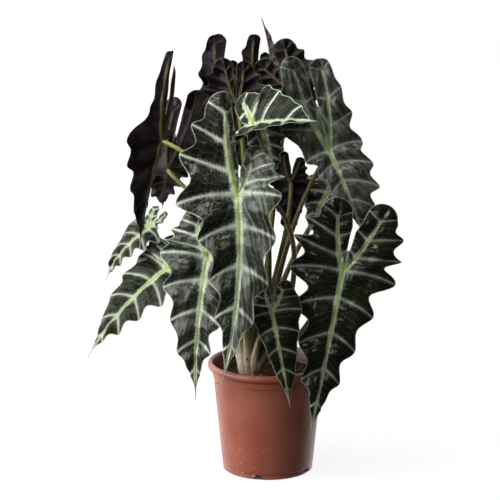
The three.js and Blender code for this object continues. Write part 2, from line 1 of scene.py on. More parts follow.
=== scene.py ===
"""A potted alocasia: arrowhead leaves with pale veins on long stalks, in a round plastic nursery pot.

Metres, +Z up. The pot stands on Z = 0 with its axis on Z, and the front of the plant faces -Y.
"""

import math

import bmesh
import bpy
import numpy as np
from mathutils import Matrix, Vector, noise


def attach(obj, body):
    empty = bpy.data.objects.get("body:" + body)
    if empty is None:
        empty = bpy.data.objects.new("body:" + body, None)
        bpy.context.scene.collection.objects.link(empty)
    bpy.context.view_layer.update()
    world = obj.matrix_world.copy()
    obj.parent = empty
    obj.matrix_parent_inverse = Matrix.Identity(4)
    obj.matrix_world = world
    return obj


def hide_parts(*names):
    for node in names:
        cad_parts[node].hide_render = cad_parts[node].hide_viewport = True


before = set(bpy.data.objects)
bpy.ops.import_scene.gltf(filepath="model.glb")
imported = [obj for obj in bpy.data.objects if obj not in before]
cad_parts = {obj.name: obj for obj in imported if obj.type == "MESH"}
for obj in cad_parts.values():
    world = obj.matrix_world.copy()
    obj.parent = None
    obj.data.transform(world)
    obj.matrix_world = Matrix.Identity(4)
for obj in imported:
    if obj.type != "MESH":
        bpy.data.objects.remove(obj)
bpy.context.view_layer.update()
MM = 0.001

# The studio: a sweep of pale paper under and behind the plant, a camera a little above its leaves, a large
# soft lamp at the left and in front, a weaker one overhead, and hardly any light from the right.
CAMERA_PLACE = (-0.0178, -1.8, 0.62)
CAMERA_TILT = math.radians(77.52)
CAMERA_LENS = 135.5
LAMPS = {
    "window": dict(place=(-1.5, -0.4, 0.75), size=(1.9, 1.5), power=42),
    "side": dict(place=(-1.5, 0.9, 0.6), size=(1.0, 1.2), power=5),
    "front": dict(place=(-0.5, -2.8, 1.3), size=(1.2, 0.9), power=9),
    "overhead": dict(place=(-0.55, -0.35, 1.9), size=(1.0, 1.0), power=20),
}
AIM = Vector((0, 0, 0.24))

# The camera sees a white room. It lights the plant by SKY only, but its far side shows in glossy faces as a
# bright backdrop, which begins at the first share of BACKDROP_RISE and is full at the second.
SKY = 0.07
BACKDROP = 1.3
BACKDROP_RISE = (0.1, 0.7)

# The paper glows a little less near the pot, and is dark within the pot's foot, where no light comes.
PAPER_SIZE = 14
PAPER_GREY = (0.15, 0.15, 0.15, 1)
PAPER_GLOW = 0.9
FOOT_SHADE = 0.03
FOOT_SHADE_EDGE = (0.0455, 0.0425)


def add_object(name, content):
    """An object at the origin with a mesh, a camera or a lamp in it."""
    made = bpy.data.objects.new(name, content)
    bpy.context.scene.collection.objects.link(made)
    return made


camera = add_object("camera", bpy.data.cameras.new("camera"))
camera.location = CAMERA_PLACE
camera.rotation_euler = (CAMERA_TILT, 0, 0)
camera.data.sensor_width = 36
camera.data.lens = CAMERA_LENS
camera.data.dof.use_dof = False
bpy.context.scene.camera = camera
bpy.context.scene.view_settings.view_transform = "Standard"

for name, lamp in LAMPS.items():
    light = bpy.data.lights.new(name, "AREA")
    light.shape = "RECTANGLE"
    light.size, light.size_y = lamp["size"]
    light.energy = lamp["power"]
    holder = add_object(name, light)
    holder.location = lamp["place"]
    holder.rotation_euler = (AIM - holder.location).to_track_quat("-Z", "Y").to_euler()


class Value:
    """A socket of a tree of nodes. Python's operators on it add Math nodes."""

    def __init__(self, nodes, socket):
        self.nodes = nodes
        self.socket = socket

    def math(self, operation, *others):
        return self.nodes.add("ShaderNodeMath", dict(enumerate((self, *others))), operation=operation)

    def __add__(self, other):
        return self.math("ADD", other)

    def __sub__(self, other):
        return self.math("SUBTRACT", other)

    def __mul__(self, other):
        return self.math("MULTIPLY", other)

    def __truediv__(self, other):
        return self.math("DIVIDE", other)

    def __pow__(self, other):
        return self.math("POWER", other)

    def __rsub__(self, other):
        return self.math("MULTIPLY_ADD", -1, other)

    __radd__ = __add__
    __rmul__ = __mul__

    def ramp(self, low, high, start, end, kind="LINEAR"):
        """Start below low, end above high and a ramp between them."""
        sockets = {"Value": self, "From Min": low, "From Max": high, "To Min": start, "To Max": end}
        return self.nodes.add("ShaderNodeMapRange", sockets, interpolation_type=kind)

    def step(self, low, high):
        """0 below low, 1 above high and a smooth ramp between them; the other way round if high is less."""
        ends = (low, high, 0, 1) if high > low else (high, low, 1, 0)
        return self.ramp(*ends, "SMOOTHSTEP")


class Nodes:
    """A tree of nodes. Every node with an output comes from add(), which gives back that output."""

    def __init__(self, tree):
        self.tree = tree

    def feed(self, node, sockets):
        """Links or sets a node's inputs. One whose value is None stays as it is."""
        for key, value in sockets.items():
            if isinstance(value, Value):
                self.tree.links.new(value.socket, node.inputs[key])
            elif value is not None:
                node.inputs[key].default_value = value

    def add(self, kind, sockets=None, output=0, **settings):
        node = self.tree.nodes.new(kind)
        for key, value in settings.items():
            setattr(node, key, value)
        self.feed(node, sockets or {})
        return Value(self, node.outputs[output])

    def split(self, vector):
        """The three numbers of a vector."""
        node = self.add("ShaderNodeSeparateXYZ", {0: vector}).socket.node
        return [Value(self, socket) for socket in node.outputs]

    def vector(self, x, y, z):
        return self.add("ShaderNodeCombineXYZ", {0: x, 1: y, 2: z})


world = bpy.data.worlds.new("room")
bpy.context.scene.world = world
world.use_nodes = True
room = Nodes(world.node_tree)
backdrop = room.split(room.add("ShaderNodeTexCoord", output="Generated"))[1].ramp(*BACKDROP_RISE, 0, BACKDROP)
camera_ray = room.add("ShaderNodeLightPath", output="Is Camera Ray")
glossy_ray = room.add("ShaderNodeLightPath", output="Is Glossy Ray")
room.feed(world.node_tree.nodes["Background"], {
    "Color": (1, 1, 1, 1), "Strength": glossy_ray * backdrop + camera_ray.ramp(0, 1, SKY, 1)})


def mesh_from(name, points, faces):
    """A smooth-shaded mesh from points in millimetres."""
    mesh = bpy.data.meshes.new(name)
    mesh.from_pydata((np.asarray(points, float) * MM).tolist(), [], faces)
    mesh.polygons.foreach_set("use_smooth", [True] * len(mesh.polygons))
    mesh.update()
    return mesh


half_paper = PAPER_SIZE / MM / 2
corners = [(x * half_paper, y * half_paper, 0) for x, y in ((-1, -1), (1, -1), (1, 1), (-1, 1))]
paper = add_object("paper", mesh_from("paper", corners, [(0, 1, 2, 3)]))
white = bpy.data.materials.new("paper")
white.use_nodes = True
sheet = Nodes(white.node_tree)
spot = sheet.add("ShaderNodeTexCoord", output="Object")
near_pot = sheet.add("ShaderNodeTexGradient", {"Vector": spot}, 1, gradient_type="SPHERICAL")
shade = near_pot.ramp(*(1 - radius for radius in FOOT_SHADE_EDGE), 1, FOOT_SHADE)
sheet.feed(white.node_tree.nodes["Principled BSDF"], {
    "Base Color": PAPER_GREY, "Roughness": 1, "Specular IOR Level": 0, "Emission Strength": 1,
    "Emission Color": near_pot.ramp(0, 1, 1, PAPER_GLOW) * shade})
paper.data.materials.append(white)
paper.visible_diffuse = False
paper.visible_glossy = False


# Pot: one thin moulding of terracotta-coloured polypropylene, 12 cm across its rolled rim, with a shoulder
# step, a tapering wall, and a foot with five drainage notches round a pad that carries the middle.
POT_HEIGHT = 110
RIM_RADIUS = 60
FOOT_RADIUS = 44.6
SHOULDER_RADIUS = 54
SHOULDER_Z = 94
FLOOR_Z = 5
FLOOR_TOP_Z = 6.6
WALL = 1.5
POT_SIDES = 180
CORNER_RADIUS = 0.9
CORNER_SHARE = 0.45
EASE_STEPS = 4
LONGEST_STRETCH = 6
NICK_TURN, NICK_HALF_TURN = math.radians(258.5), 0.02
NICK_Z, NICK_HALF_HEIGHT = 108.5, 1.6
NICK_DEPTH, NICK_DROP = 0.9, 0.5
RIM_WAVES = ((0.12, 3, 1), (0.08, 7, 0))
CHANNELS = 5
CHANNEL_START = math.radians(-104)
NOTCH_CUT = dict(sides=24, low=7.2, high=5.6, depth=6, at=(FOOT_RADIUS, 0, 1.9), stretch=(2, 0.78, 1))
DRAIN_CUT = dict(sides=32, low=3.5, high=3.5, depth=8, at=(25, 0, 6), stretch=(1, 1, 1))


def wall_inside(z):
    """Radius of the pot's inner wall at a height."""
    return FOOT_RADIUS + (SHOULDER_RADIUS - FOOT_RADIUS) * z / SHOULDER_Z - WALL


def rounded(outline, radius):
    """The outline with each corner eased over a radius, and its long stretches divided."""
    outline = [np.array(point, float) for point in outline]
    eased = [outline[0]]
    for before, corner, after in zip(outline, outline[1:], outline[2:]):
        ends = []
        for other in (before, after):
            length = np.linalg.norm(other - corner)
            ends.append(corner + (other - corner) * min(radius, CORNER_SHARE * length) / length)
        for share in np.linspace(0, 1, EASE_STEPS + 1):
            first = ends[0] + (corner - ends[0]) * share
            second = corner + (ends[1] - corner) * share
            eased.append(first + (second - first) * share)
    eased.append(outline[-1])
    full = [eased[0]]
    for before, after in zip(eased, eased[1:]):
        pieces = max(1, int(np.linalg.norm(after - before) / LONGEST_STRETCH))
        full += [before + (after - before) * step / pieces for step in range(1, pieces + 1)]
    return full


def around(sides):
    """The angles of the points of a ring."""
    return np.arange(sides) * 2 * math.pi / sides


def strip(first, rings, sides, side):
    """The faces up one side of a stack of rings, whose lowest point has the number first."""
    ahead = (side + 1) % sides
    return [(low + side, low + ahead, low + sides + ahead, low + sides + side)
            for low in range(first, first + (rings - 1) * sides, sides)]


def turned(name, outline, sides, change=None):
    """A closed body turned round the Z axis from an outline that starts and ends on it."""
    points = [(0, 0, outline[0][1]), (0, 0, outline[-1][1])]
    rings = outline[1:-1]
    for radius, z in rings:
        for angle in around(sides):
            away, height = change(radius, z, angle) if change else (radius, z)
            points.append((away * math.cos(angle), away * math.sin(angle), height))
    faces = []
    last = 2 + (len(rings) - 1) * sides
    for side in range(sides):
        ahead = (side + 1) % sides
        faces += [(0, 2 + ahead, 2 + side), (1, last + side, last + ahead)]
        faces += strip(2, len(rings), sides, side)
    return mesh_from(name, points, faces)


def shaped(name, shape):
    """An object from a shape that was built up part by part."""
    mesh = bpy.data.meshes.new(name)
    shape.to_mesh(mesh)
    return add_object(name, mesh)


def bake(piece):
    """Puts what a piece's modifiers make of it in place of its mesh."""
    graph = bpy.context.evaluated_depsgraph_get()
    mesh = bpy.data.meshes.new_from_object(piece.evaluated_get(graph))
    piece.modifiers.clear()
    piece.data = mesh


def cut(piece, cutters):
    """Cuts closed bodies out of a piece and removes them."""
    for cutter in cutters:
        modifier = piece.modifiers.new("cut", "BOOLEAN")
        modifier.operation = "DIFFERENCE"
        modifier.solver = "EXACT"
        modifier.object = cutter
    bake(piece)
    for cutter in cutters:
        bpy.data.objects.remove(cutter)


def channel(turn):
    """What is cut away at one place round the foot: a notch in the ring and a hole in the floor."""
    shape = bmesh.new()
    for cone in (NOTCH_CUT, DRAIN_CUT):
        place = Matrix.Rotation(turn, 4, "Z") @ Matrix.Translation([part * MM for part in cone["at"]])
        bmesh.ops.create_cone(
            shape, cap_ends=True, segments=cone["sides"], radius1=cone["low"] * MM, radius2=cone["high"] * MM,
            depth=cone["depth"] * MM, matrix=place @ Matrix.Diagonal((*cone["stretch"], 1)))
    return shaped("channel", shape)


def lip(radius, z, angle):
    """The rolled rim is a little uneven, and a knock has left a nick in its front."""
    wave = sum(height * math.sin(count * angle + start) for height, count, start in RIM_WAVES)
    lean = max(0.0, (z - SHOULDER_Z) / (POT_HEIGHT - SHOULDER_Z))
    nick = math.exp(-((angle - NICK_TURN) / NICK_HALF_TURN) ** 2 - ((z - NICK_Z) / NICK_HALF_HEIGHT) ** 2)
    return radius + wave * lean - NICK_DEPTH * nick * lean, z - NICK_DROP * nick * lean


pot_outline = [
    (0, 0), (14, 0), (16, FLOOR_Z), (35, FLOOR_Z), (36, 0), (FOOT_RADIUS - 0.4, 0), (FOOT_RADIUS, 0.6),
    (FOOT_RADIUS, FLOOR_Z - 0.3), (FOOT_RADIUS + 0.7, FLOOR_Z + 0.8),
    (SHOULDER_RADIUS - 0.1, SHOULDER_Z - 0.6), (SHOULDER_RADIUS - 0.1, SHOULDER_Z),
    (SHOULDER_RADIUS + 0.6, SHOULDER_Z + 0.5), (SHOULDER_RADIUS + 0.9, 101), (57.4, 102.3), (59.3, 103.4),
    (RIM_RADIUS, 105.4), (59.6, 108), (58.3, 109.5), (57, POT_HEIGHT),
    (55.8, 109.4), (54.9, 107.6), (54.2, 104.6), (wall_inside(SHOULDER_Z) + 0.6, 99),
    (wall_inside(SHOULDER_Z), 92), (wall_inside(12), 12), (wall_inside(FLOOR_TOP_Z) - 1.6, FLOOR_TOP_Z),
    (0, FLOOR_TOP_Z),
]
pot = add_object("pot_shell", turned("pot_shell", rounded(pot_outline, CORNER_RADIUS), POT_SIDES, lip))
cut(pot, [channel(CHANNEL_START + i * 2 * math.pi / CHANNELS) for i in range(CHANNELS)])
pot.data.set_sharp_from_angle(angle=math.radians(38))


def linear(color):
    """The renderer's colour for a screen colour with parts of 0 to 255."""
    return [((part / 255 + 0.055) / 1.055) ** 2.4 if part > 10 else part / 3300 for part in color]


class Finish(Nodes):
    """A material. Its colour is built up in layers of screen colours with parts of 0 to 255."""

    def __init__(self, name):
        self.material = bpy.data.materials.new(name)
        self.material.use_nodes = True
        super().__init__(self.material.node_tree)
        self.tree.nodes.clear()
        self.place = self.add("ShaderNodeTexCoord", output="Object")

    def attribute(self, name):
        """The three numbers of an attribute of the mesh."""
        return self.split(self.add("ShaderNodeAttribute", output="Vector", attribute_name=name))

    def noise(self, scale, detail=2, roughness=0.5, at=None):
        """A noise over the piece, or over three values of its own."""
        vector = self.vector(*at) if at else self.place
        return self.add("ShaderNodeTexNoise", {
            "Vector": vector, "Scale": scale, "Detail": detail, "Roughness": roughness})

    def mix(self, share, first, second):
        """A colour between two, each a socket or a screen colour."""
        ends = [end if isinstance(end, Value) else (*linear(end), 1) for end in (first, second)]
        return self.add("ShaderNodeMix", {0: share, 6: ends[0], 7: ends[1]}, 2, data_type="RGBA")

    def base(self, share, first, second):
        """The colour under all the layers, between two."""
        self.color = self.mix(share, first, second)

    def layer(self, share, color):
        """Lays a share of a colour over the colour so far."""
        self.color = self.mix(share, self.color, color)

    def bump(self, height, depth, normal=None):
        """A normal for a height of 0 to 1 over a depth in metres."""
        return self.add("ShaderNodeBump", {
            "Height": height, "Distance": depth, "Strength": 1.0, "Normal": normal})

    def done(self, roughness, normal=None, gloss=0.5):
        shader = self.add("ShaderNodeBsdfPrincipled", {
            "Base Color": self.color, "Roughness": roughness, "Normal": normal, "Specular IOR Level": gloss})
        self.feed(self.tree.nodes.new("ShaderNodeOutputMaterial"), {"Surface": shader})
        return self.material


def plastic():
    """Terracotta-coloured plastic, satin and faintly scratched. It is dusty, most at the foot, has small pale
    chips low down, and is dark brown inside above the soil, from soil dirt and painted shade."""
    finish = Finish("terracotta plastic")
    x, y, z = finish.split(finish.place)
    dust = finish.noise(420, 4, 0.65)
    scratch = finish.noise(240, 3, 0.7, (x, y, z * 5.0))
    chip = finish.noise(300, 1)
    above_soil = z - 0.096
    inside = (x * x + y * y) ** 0.5 - above_soil.math("MAXIMUM", 0.0) * 0.12
    # Dark brown on the inner wall above the soil: partly soil dirt, partly painted shade inside the rim.
    soiled_and_shaded = above_soil.step(0.0, 0.006) * dust.step(0.15, 0.5) * inside.step(0.0542, 0.0534)
    finish.base(finish.noise(26, 3).step(0.35, 0.7), (164, 86, 63), (177, 101, 79))
    finish.layer(scratch.step(0.56, 0.78) * 0.22, (214, 150, 130))
    finish.layer(dust.step(0.5, 0.75) * (z.step(0.02, 0.0) * 0.35 + 0.1), (222, 178, 160))
    finish.layer(chip.step(0.745, 0.755) * z.step(0.045, 0.02), (238, 214, 200))
    finish.layer(soiled_and_shaded * 0.85, (58, 40, 32))
    grain = finish.bump(finish.noise(900, 2), 0.00005)
    return finish.done(dust * 0.14 + scratch * 0.1 + 0.28, finish.bump(dust, 0.00012, grain), 0.8)


def wear(piece, *materials):
    """Gives a piece its materials."""
    for material in materials:
        piece.data.materials.append(material)


wear(pot, plastic())
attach(pot, "root")
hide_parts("pot")


# Soil: damp dark peat with bark crumbs, fibres and a few white grains, loose in the pot to 15 mm under the
# rim. It fills the pot down to its floor.
SOIL_Z = 95
SOIL_FOOT_Z = 6.9
SOIL_SWELL = 2
SOIL_RINGS = 40
SOIL_SIDES = 150
SOIL_RELIEF = 1.3
CROWN = (-15, 0)
CLUMP = (-1, -15)
WHITE_GRAIN = (-6.5, -13.5, 98.4)


def roughness_of_soil(radius, z, angle):
    """Lifts the top of the soil into lumps and hollows; its sides stay as they are."""
    if z < SOIL_Z - 0.5:
        return radius, z
    x = radius * math.cos(angle)
    y = radius * math.sin(angle)
    swell = math.sin(0.31 * x + 1) * math.cos(0.27 * y) + 0.6 * math.sin(0.73 * x - 0.58 * y)
    lumps = noise.noise((x * 0.16, y * 0.16, 3)) + 0.6 * noise.noise((x * 0.42, y * 0.42, 7))
    return radius, z + SOIL_RELIEF * (swell / 1.6 + 0.9 * lumps)


soil_edge = wall_inside(SOIL_Z) - 0.5
soil_outline = [(0, SOIL_FOOT_Z), (wall_inside(7) - 2, SOIL_FOOT_Z), (wall_inside(12) - 0.4, 12)]
soil_outline += [(wall_inside(z) - 0.45, z) for z in (30, 50, 70, 85, 92)]
soil_outline += [
    (soil_edge * (1 - step / SOIL_RINGS), SOIL_Z + SOIL_SWELL * math.sin(step / SOIL_RINGS * math.pi / 2))
    for step in range(SOIL_RINGS + 1)]
soil = add_object("soil_bed", turned("soil_bed", soil_outline, SOIL_SIDES, roughness_of_soil))


def peat(name, dark, light, pale_share):
    """Something dull and grainy, with paler patches."""
    finish = Finish(name)
    grain = finish.noise(620, 4, 0.7)
    finish.base(grain.step(0.4, 0.72), dark, light)
    finish.layer(finish.noise(75, 2).step(0.62, 0.72) * pale_share, (120, 88, 60))
    return finish.done(grain * 0.15 + 0.78, finish.bump(grain, 0.0006))


wear(soil, peat("peat", (26, 18, 13), (66, 45, 31), 0.25))
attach(soil, "root")
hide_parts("soil")


class Recipe(Nodes):
    """A Geometry Nodes tree whose inputs are named."""

    def __init__(self, name, inputs):
        tree = bpy.data.node_groups.new(name, "GeometryNodeTree")
        super().__init__(tree)
        tree.interface.new_socket("Result", in_out="OUTPUT", socket_type="NodeSocketGeometry")
        self.keys = {}
        for key, kind in inputs.items():
            socket = tree.interface.new_socket(key, in_out="INPUT", socket_type="NodeSocket" + kind)
            self.keys[key] = socket.identifier
        self.source = tree.nodes.new("NodeGroupInput")

    def given(self, key):
        return Value(self, self.source.outputs[key])

    def applied(self, name, ground, values):
        """A new piece with what the tree makes on a ground."""
        carrier = add_object(name, ground.data.copy())
        modifier = carrier.modifiers.new(name, "NODES")
        modifier.node_group = self.tree
        for key, value in values.items():
            modifier[self.keys[key]] = value
        bake(carrier)
        return carrier


scatter = Recipe("scatter", {
    "Ground": "Geometry", "Grain": "Object", "Density": "Float", "Seed": "Int", "Smallest": "Float",
    "Largest": "Float", "Tilt": "Float", "Finish": "Material",
})
given, seed, tilt = scatter.given, scatter.given("Seed"), scatter.given("Tilt")
up = scatter.split(scatter.add("GeometryNodeInputNormal"))[2]
spots = scatter.add("GeometryNodeDistributePointsOnFaces", {
    "Mesh": given("Ground"), "Density": given("Density"), "Seed": seed,
    "Selection": up.math("GREATER_THAN", 0.5),
})
turn = scatter.add("FunctionNodeRandomValue", {
    0: scatter.vector(tilt * -1, tilt * -1, -math.pi), 1: scatter.vector(tilt, tilt, math.pi), 8: seed,
}, data_type="FLOAT_VECTOR")
stretch = scatter.add("FunctionNodeRandomValue", {
    2: given("Smallest"), 3: given("Largest"), 8: seed}, 1, data_type="FLOAT")
grain = scatter.add("GeometryNodeObjectInfo", {"Object": given("Grain")}, "Geometry")
placed = scatter.add("GeometryNodeInstanceOnPoints", {
    "Points": spots, "Instance": grain, "Rotation": turn, "Scale": stretch})
whole = scatter.add("GeometryNodeRealizeInstances", {0: placed})
dressed = scatter.add("GeometryNodeSetMaterial", {"Geometry": whole, "Material": given("Finish")})
scatter.feed(scatter.tree.nodes.new("NodeGroupOutput"), {0: dressed})


def crumb(name, stretch, seed):
    """A small lumpy body about 2 mm across."""
    shape = bmesh.new()
    bmesh.ops.create_icosphere(shape, subdivisions=2, radius=MM)
    for vertex in shape.verts:
        push = 1 + 0.45 * noise.noise(vertex.co * 900 + Vector((seed, 0, 0)))
        vertex.co = [part * push * size for part, size in zip(vertex.co, stretch)]
    return shaped(name, shape)


def fibre(name, length, width, bend, seed):
    """A thin bent strip of bark or root, with four sides."""
    rows = np.linspace(-0.5, 0.5, 7)
    points = []
    for row in rows:
        y = bend * (row * row - 0.1) * length
        z = 0.12 * length * noise.noise((row * 3, seed, 0))
        size = width * (1 - 1.4 * row * row)
        points += [(row * length, y + size * math.cos(corner), z + size * math.sin(corner))
                   for corner in (0.5, 2.1, 3.9, 5.4)]
    faces = [(3, 2, 1, 0), (24, 25, 26, 27)]
    for side in range(4):
        faces += strip(0, len(rows), 4, side)
    return add_object(name, mesh_from(name, points, faces))


def moved(piece, x, y, z):
    """Shifts a piece's mesh by millimetres; its object stays at the origin."""
    piece.data.transform(Matrix.Translation((x * MM, y * MM, z * MM)))
    return piece


peat_crumb = peat("peat crumbs", (22, 15, 11), (74, 52, 36), 0.3)
bark = peat("bark", (58, 36, 22), (132, 92, 58), 0.5)
straw = peat("straw", (92, 56, 34), (180, 134, 92), 0.4)
perlite = peat("perlite", (188, 182, 168), (236, 232, 222), 0.0)
mound_outline = [(0, 95), (8, 96), (6.5, 99), (4, 103), (0, 105)]
mound = moved(add_object("mound", turned("mound", mound_outline, 24)), *CLUMP, 0)

# Each kind of litter: the ground, the shape of a piece, pieces for each square metre, the smallest and
# largest scale, the tilt, the finish and the seed. The clump of fibres lies on a mound of its own.
LITTER = {
    "soil_crumbs": (soil, crumb("grain", (1.3, 1, 0.8), 1), 95000.0, 0.5, 1.5, math.pi, peat_crumb, 11),
    "soil_chips": (soil, crumb("grain", (2.2, 1, 0.45), 5), 14000.0, 0.5, 1.4, 0.5, bark, 12),
    "soil_fibres": (soil, fibre("grain", 11, 0.24, 0.5, 2), 16000.0, 0.5, 1.3, 0.35, bark, 13),
    "soil_grains": (soil, crumb("grain", (1, 1, 0.9), 9), 1500.0, 0.4, 0.9, math.pi, perlite, 14),
    "soil_clump": (mound, fibre("grain", 8, 0.3, 0.7, 4), 900000.0, 0.4, 1.0, 1.1, straw, 15),
}
COLUMNS = ("Grain", "Density", "Smallest", "Largest", "Tilt", "Finish", "Seed")
for name, (ground, *row) in LITTER.items():
    litter = scatter.applied(name, ground, dict(zip(COLUMNS, row)))
    bpy.data.objects.remove(row[0])
    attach(litter, "root")
bpy.data.objects.remove(mound)

white_grain = moved(crumb("white_grain", (1.8, 1.2, 1.3), 4), *WHITE_GRAIN)
wear(white_grain, perlite)
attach(white_grain, "root")


# Leaves: firm glossy arrowhead blades, under 1 mm thick, black-green with pale veins above and purple below.
# A midrib runs to the apex and a rib into each lobe; side veins run from them to the waved margin. Each
# blade grows on its own stalk, and all the stalks leave one short sheathed stem.

# Each leaf in millimetres and degrees; a pair is for its two sides. at is the junction with the stalk, tip
# the apex, lobes the tips of the back lobes and face the way the upper face looks. width is the half width.
# fold lifts a side and curl turns it on towards the margin, lobe_fold and lobe_curl do so in the lobes. lobe
# is a lobe's breadth, inner that of its side in the notch, web how far the lobes join and belly how full the
# front part is. lobing and wave are the margin's scallops and waves, bow and sway the midrib's bend, and each
# is 2 where every second vein is left out. slot and foot are the stalk's place in the crown, bend its way.
# The sheen value paints a silvery reflection of the light on the face and is -1 for a bud; pale is how much
# its veins show and green the stalk's green.
LEAVES = {
    "front": dict(
        at=(-29, -85, 293), tip=(-46, -80, 105), lobes=((-43, -62, 386), (-13, -40, 329)),
        face=(0.05, -1, 0.15), width=(50, 38), fold=(-5, 32), curl=(10, -20), lobe_fold=(0, 50),
        lobe_curl=(10, -20), belly=(-0.15, 0.15), bow=6, sway=-8, wave=6, slot=11, foot=112,
        bend=((45, -15, 190), (30, -60, 300)), painted_sheen=(0.15, 1.0), pale=1.0, green=0.15),
    "frontLeft": dict(
        at=(-58, -55, 226), tip=(-70, -58, 85), lobes=((-73, -35, 270), (-41, -30, 272)),
        face=(-0.1, -1, 0.2), width=(42, 32), fold=(0, 25), curl=(-10, -10), belly=(0.1, 0.1), bow=6, sway=3,
        slot=9, foot=128, bend=((-25, -20, 215), (-50, -32, 235)), painted_sheen=0.2, pale=0.85, green=0.3),
    "lowLeft": dict(
        at=(-100, -12, 204), tip=(-176, -36, 122), lobes=((-92, 14, 234), (-68, -18, 221)),
        face=(-0.45, -0.6, 0.65), width=(41, 38), bow=8, wave=3, slot=8, foot=128,
        bend=((-38, -12, 196), (-86, 8, 185)), painted_sheen=0.04, pale=0.6, green=0.35),
    "backLeft": dict(
        at=(-119, 26, 236), tip=(-161, 12, 188), lobes=((-112, 42, 257), (-99, 23, 253)),
        face=(-0.6, -0.5, 0.6), width=(28, 24), lobe=(0.4, 0.4), bow=6, slot=6, foot=128,
        bend=((-48, 14, 200), (-100, 44, 214)), painted_sheen=0.04, pale=0.5, green=0.5),
    "farLeft": dict(
        at=(-103, 0, 330), tip=(-126, 0, 223), lobes=((-94, 5, 416), (-90, 25, 399)), face=(-0.5, 0.85, 0.05),
        width=(36, 30), fold=(5, 55), curl=(-10, 0), lobe_fold=(5, 60), lobe_curl=(10, 0), lobe=(0.4, 0.4),
        slot=7, bend=((-32, -6, 300), (-75, -25, 322)), green=1),
    "upperLeft": dict(
        at=(-100, 45, 295), tip=(-107, 85, 246), lobes=((-90, 30, 368), (-67, 35, 374)),
        face=(-0.2, 0.8, 0.5), width=(31, 27), fold=(5, 5), curl=(-10, -10), inner=0.9, web=0.6, slot=5,
        bend=((-40, 18, 262), (-86, 16, 280)), painted_sheen=0.9, green=1),
    "topLeft": dict(
        at=(-46, 60, 366), tip=(-63, 70, 294), lobes=((-53, 50, 427), (-34, 66, 400)), face=(-0.3, 1, 0.1),
        width=(22, 26), inner=0.9, web=0.8, slot=4, bend=((-20, 48, 240), (-42, 44, 346)), painted_sheen=0.55,
        green=0.45),
    "top": dict(
        at=(-30, 22, 363), tip=(-25, 38, 289), lobes=((-46, 25, 407), (-22, 30, 404)), face=(0, 1, 0.2),
        width=(32, 26), inner=0.9, web=0.8, slot=15, foot=136, bend=((-14, 4, 260), (-27, 0, 350)),
        painted_sheen=0.05, green=0.4),
    "topBack": dict(
        at=(-12, 92, 369), tip=(-18, 112, 292), lobes=((-14, 85, 424), (-2, 93, 405)), face=(0, 1, 0.1),
        width=(18, 18), inner=0.9, slot=14, foot=136, bend=((-12, 40, 265), (-12, 64, 362)), green=0.45),
    "young": dict(
        at=(3, 52, 396), tip=(-7, 50, 444), lobes=((6, 58, 376), (12, 48, 378)), face=(0.8, 0.6, 0.1),
        width=(10, 10), fold=(35, 35), curl=(0, 0), lobe=(0.6, 0.6), bow=2, slot=3,
        bend=((0, 28, 262), (-6, 38, 376)), painted_sheen=-1, green=0.8),
    "topRight": dict(
        at=(21, 28, 377), tip=(50, 55, 312), lobes=((-12, 35, 401), (16, 35, 425)), face=(0.1, 1, 0.2),
        width=(28, 28), inner=0.9, web=0.8, slot=2, bend=((4, 46, 270), (18, 10, 358)), painted_sheen=0.0,
        green=0.45),
    "right": dict(
        at=(58, -15, 322), tip=(92, -35, 241), lobes=((18, -12, 412), (50, 5, 409)), face=(0.1, -1, 0.3),
        width=(22, 30), lobe=(1.6, 0.85), belly=(0.05, 0.65), inner=0.9, web=0.6, bow=8, slot=0, foot=130,
        bend=((8, -16, 220), (38, -4, 290)), painted_sheen=0.55, pale=0.42, green=0.25),
    "lowRight": dict(
        at=(70, -60, 214), tip=(39, -62, 47), lobes=((64, -50, 284), (117, -40, 273)), face=(0.05, -1, 0.15),
        width=(44, 44), belly=(0, -0.08), inner=0.3, lobing=0.2, bow=6, slot=12, foot=108,
        bend=((35, -20, 130), (60, -35, 200)), painted_sheen=0.02, pale=0.45, green=0.15),
    "lowFront": dict(
        at=(3, -80, 179), tip=(21, -80, 84), lobes=((-6, -62, 202), (18, -62, 206)), face=(0, -1, 0.2),
        width=(20, 28), lobing=0.04, bow=6, wave=1.5, slot=10, foot=118, bend=((0, -30, 170), (5, -55, 190)),
        painted_sheen=0.04, pale=0.28, green=0.9),
    "middle": dict(
        at=(-14, -28, 348), tip=(44, -80, 361), lobes=((-27, 4, 373), (-42, -16, 325)),
        face=(-0.6, -0.63, 0.45), width=(44, 36), fold=(0, 50), curl=(-10, 0), lobe_fold=(0, 30),
        lobe=(0.65, 0.5), lobing=0.03, bow=5, wave=1, each=2, slot=16, foot=136,
        bend=((-4, -30, 230), (2, -20, 328)), painted_sheen=0.08, pale=1.0, green=0.3),
    "inner": dict(
        at=(-6, 0, 345), tip=(6, -8, 293), lobes=((-14, 10, 364), (6, 10, 365)), face=(0.1, -1, 0.1),
        width=(22, 24), lobe=(0.6, 0.6), slot=17, foot=136, bend=((14, -26, 205), (-12, 16, 312)), pale=0.8,
        green=0.3),
    "innerLow": dict(
        at=(22, 3, 289), tip=(19, 5, 224), lobes=((14, 9, 318), (33, 9, 312)), face=(0.1, 1, 0.1),
        width=(20, 20), lobe=(0.7, 0.7), slot=13, foot=136, bend=((14, 2, 215), (24, -16, 272)), pale=0.4,
        green=0.35),
    "innerRight": dict(
        at=(62, 12, 283), tip=(39, 0, 236), lobes=((61, 24, 309), (83, 13, 300)), face=(-0.3, -0.9, 0.3),
        width=(26, 26), lobe=(0.7, 0.7), slot=1, bend=((20, 18, 230), (70, 34, 272)), pale=0.6, green=0.3),
}

# What a leaf has unless its row says otherwise.
USUAL = dict(
    bow=4, sway=0, fold=(10, 10), curl=(-20, -20), lobe=(1, 1), belly=(0, 0), lobing=0.14, wave=4, inner=0.2,
    web=0.4, each=1, foot=132, painted_sheen=0.1, pale=0.3)

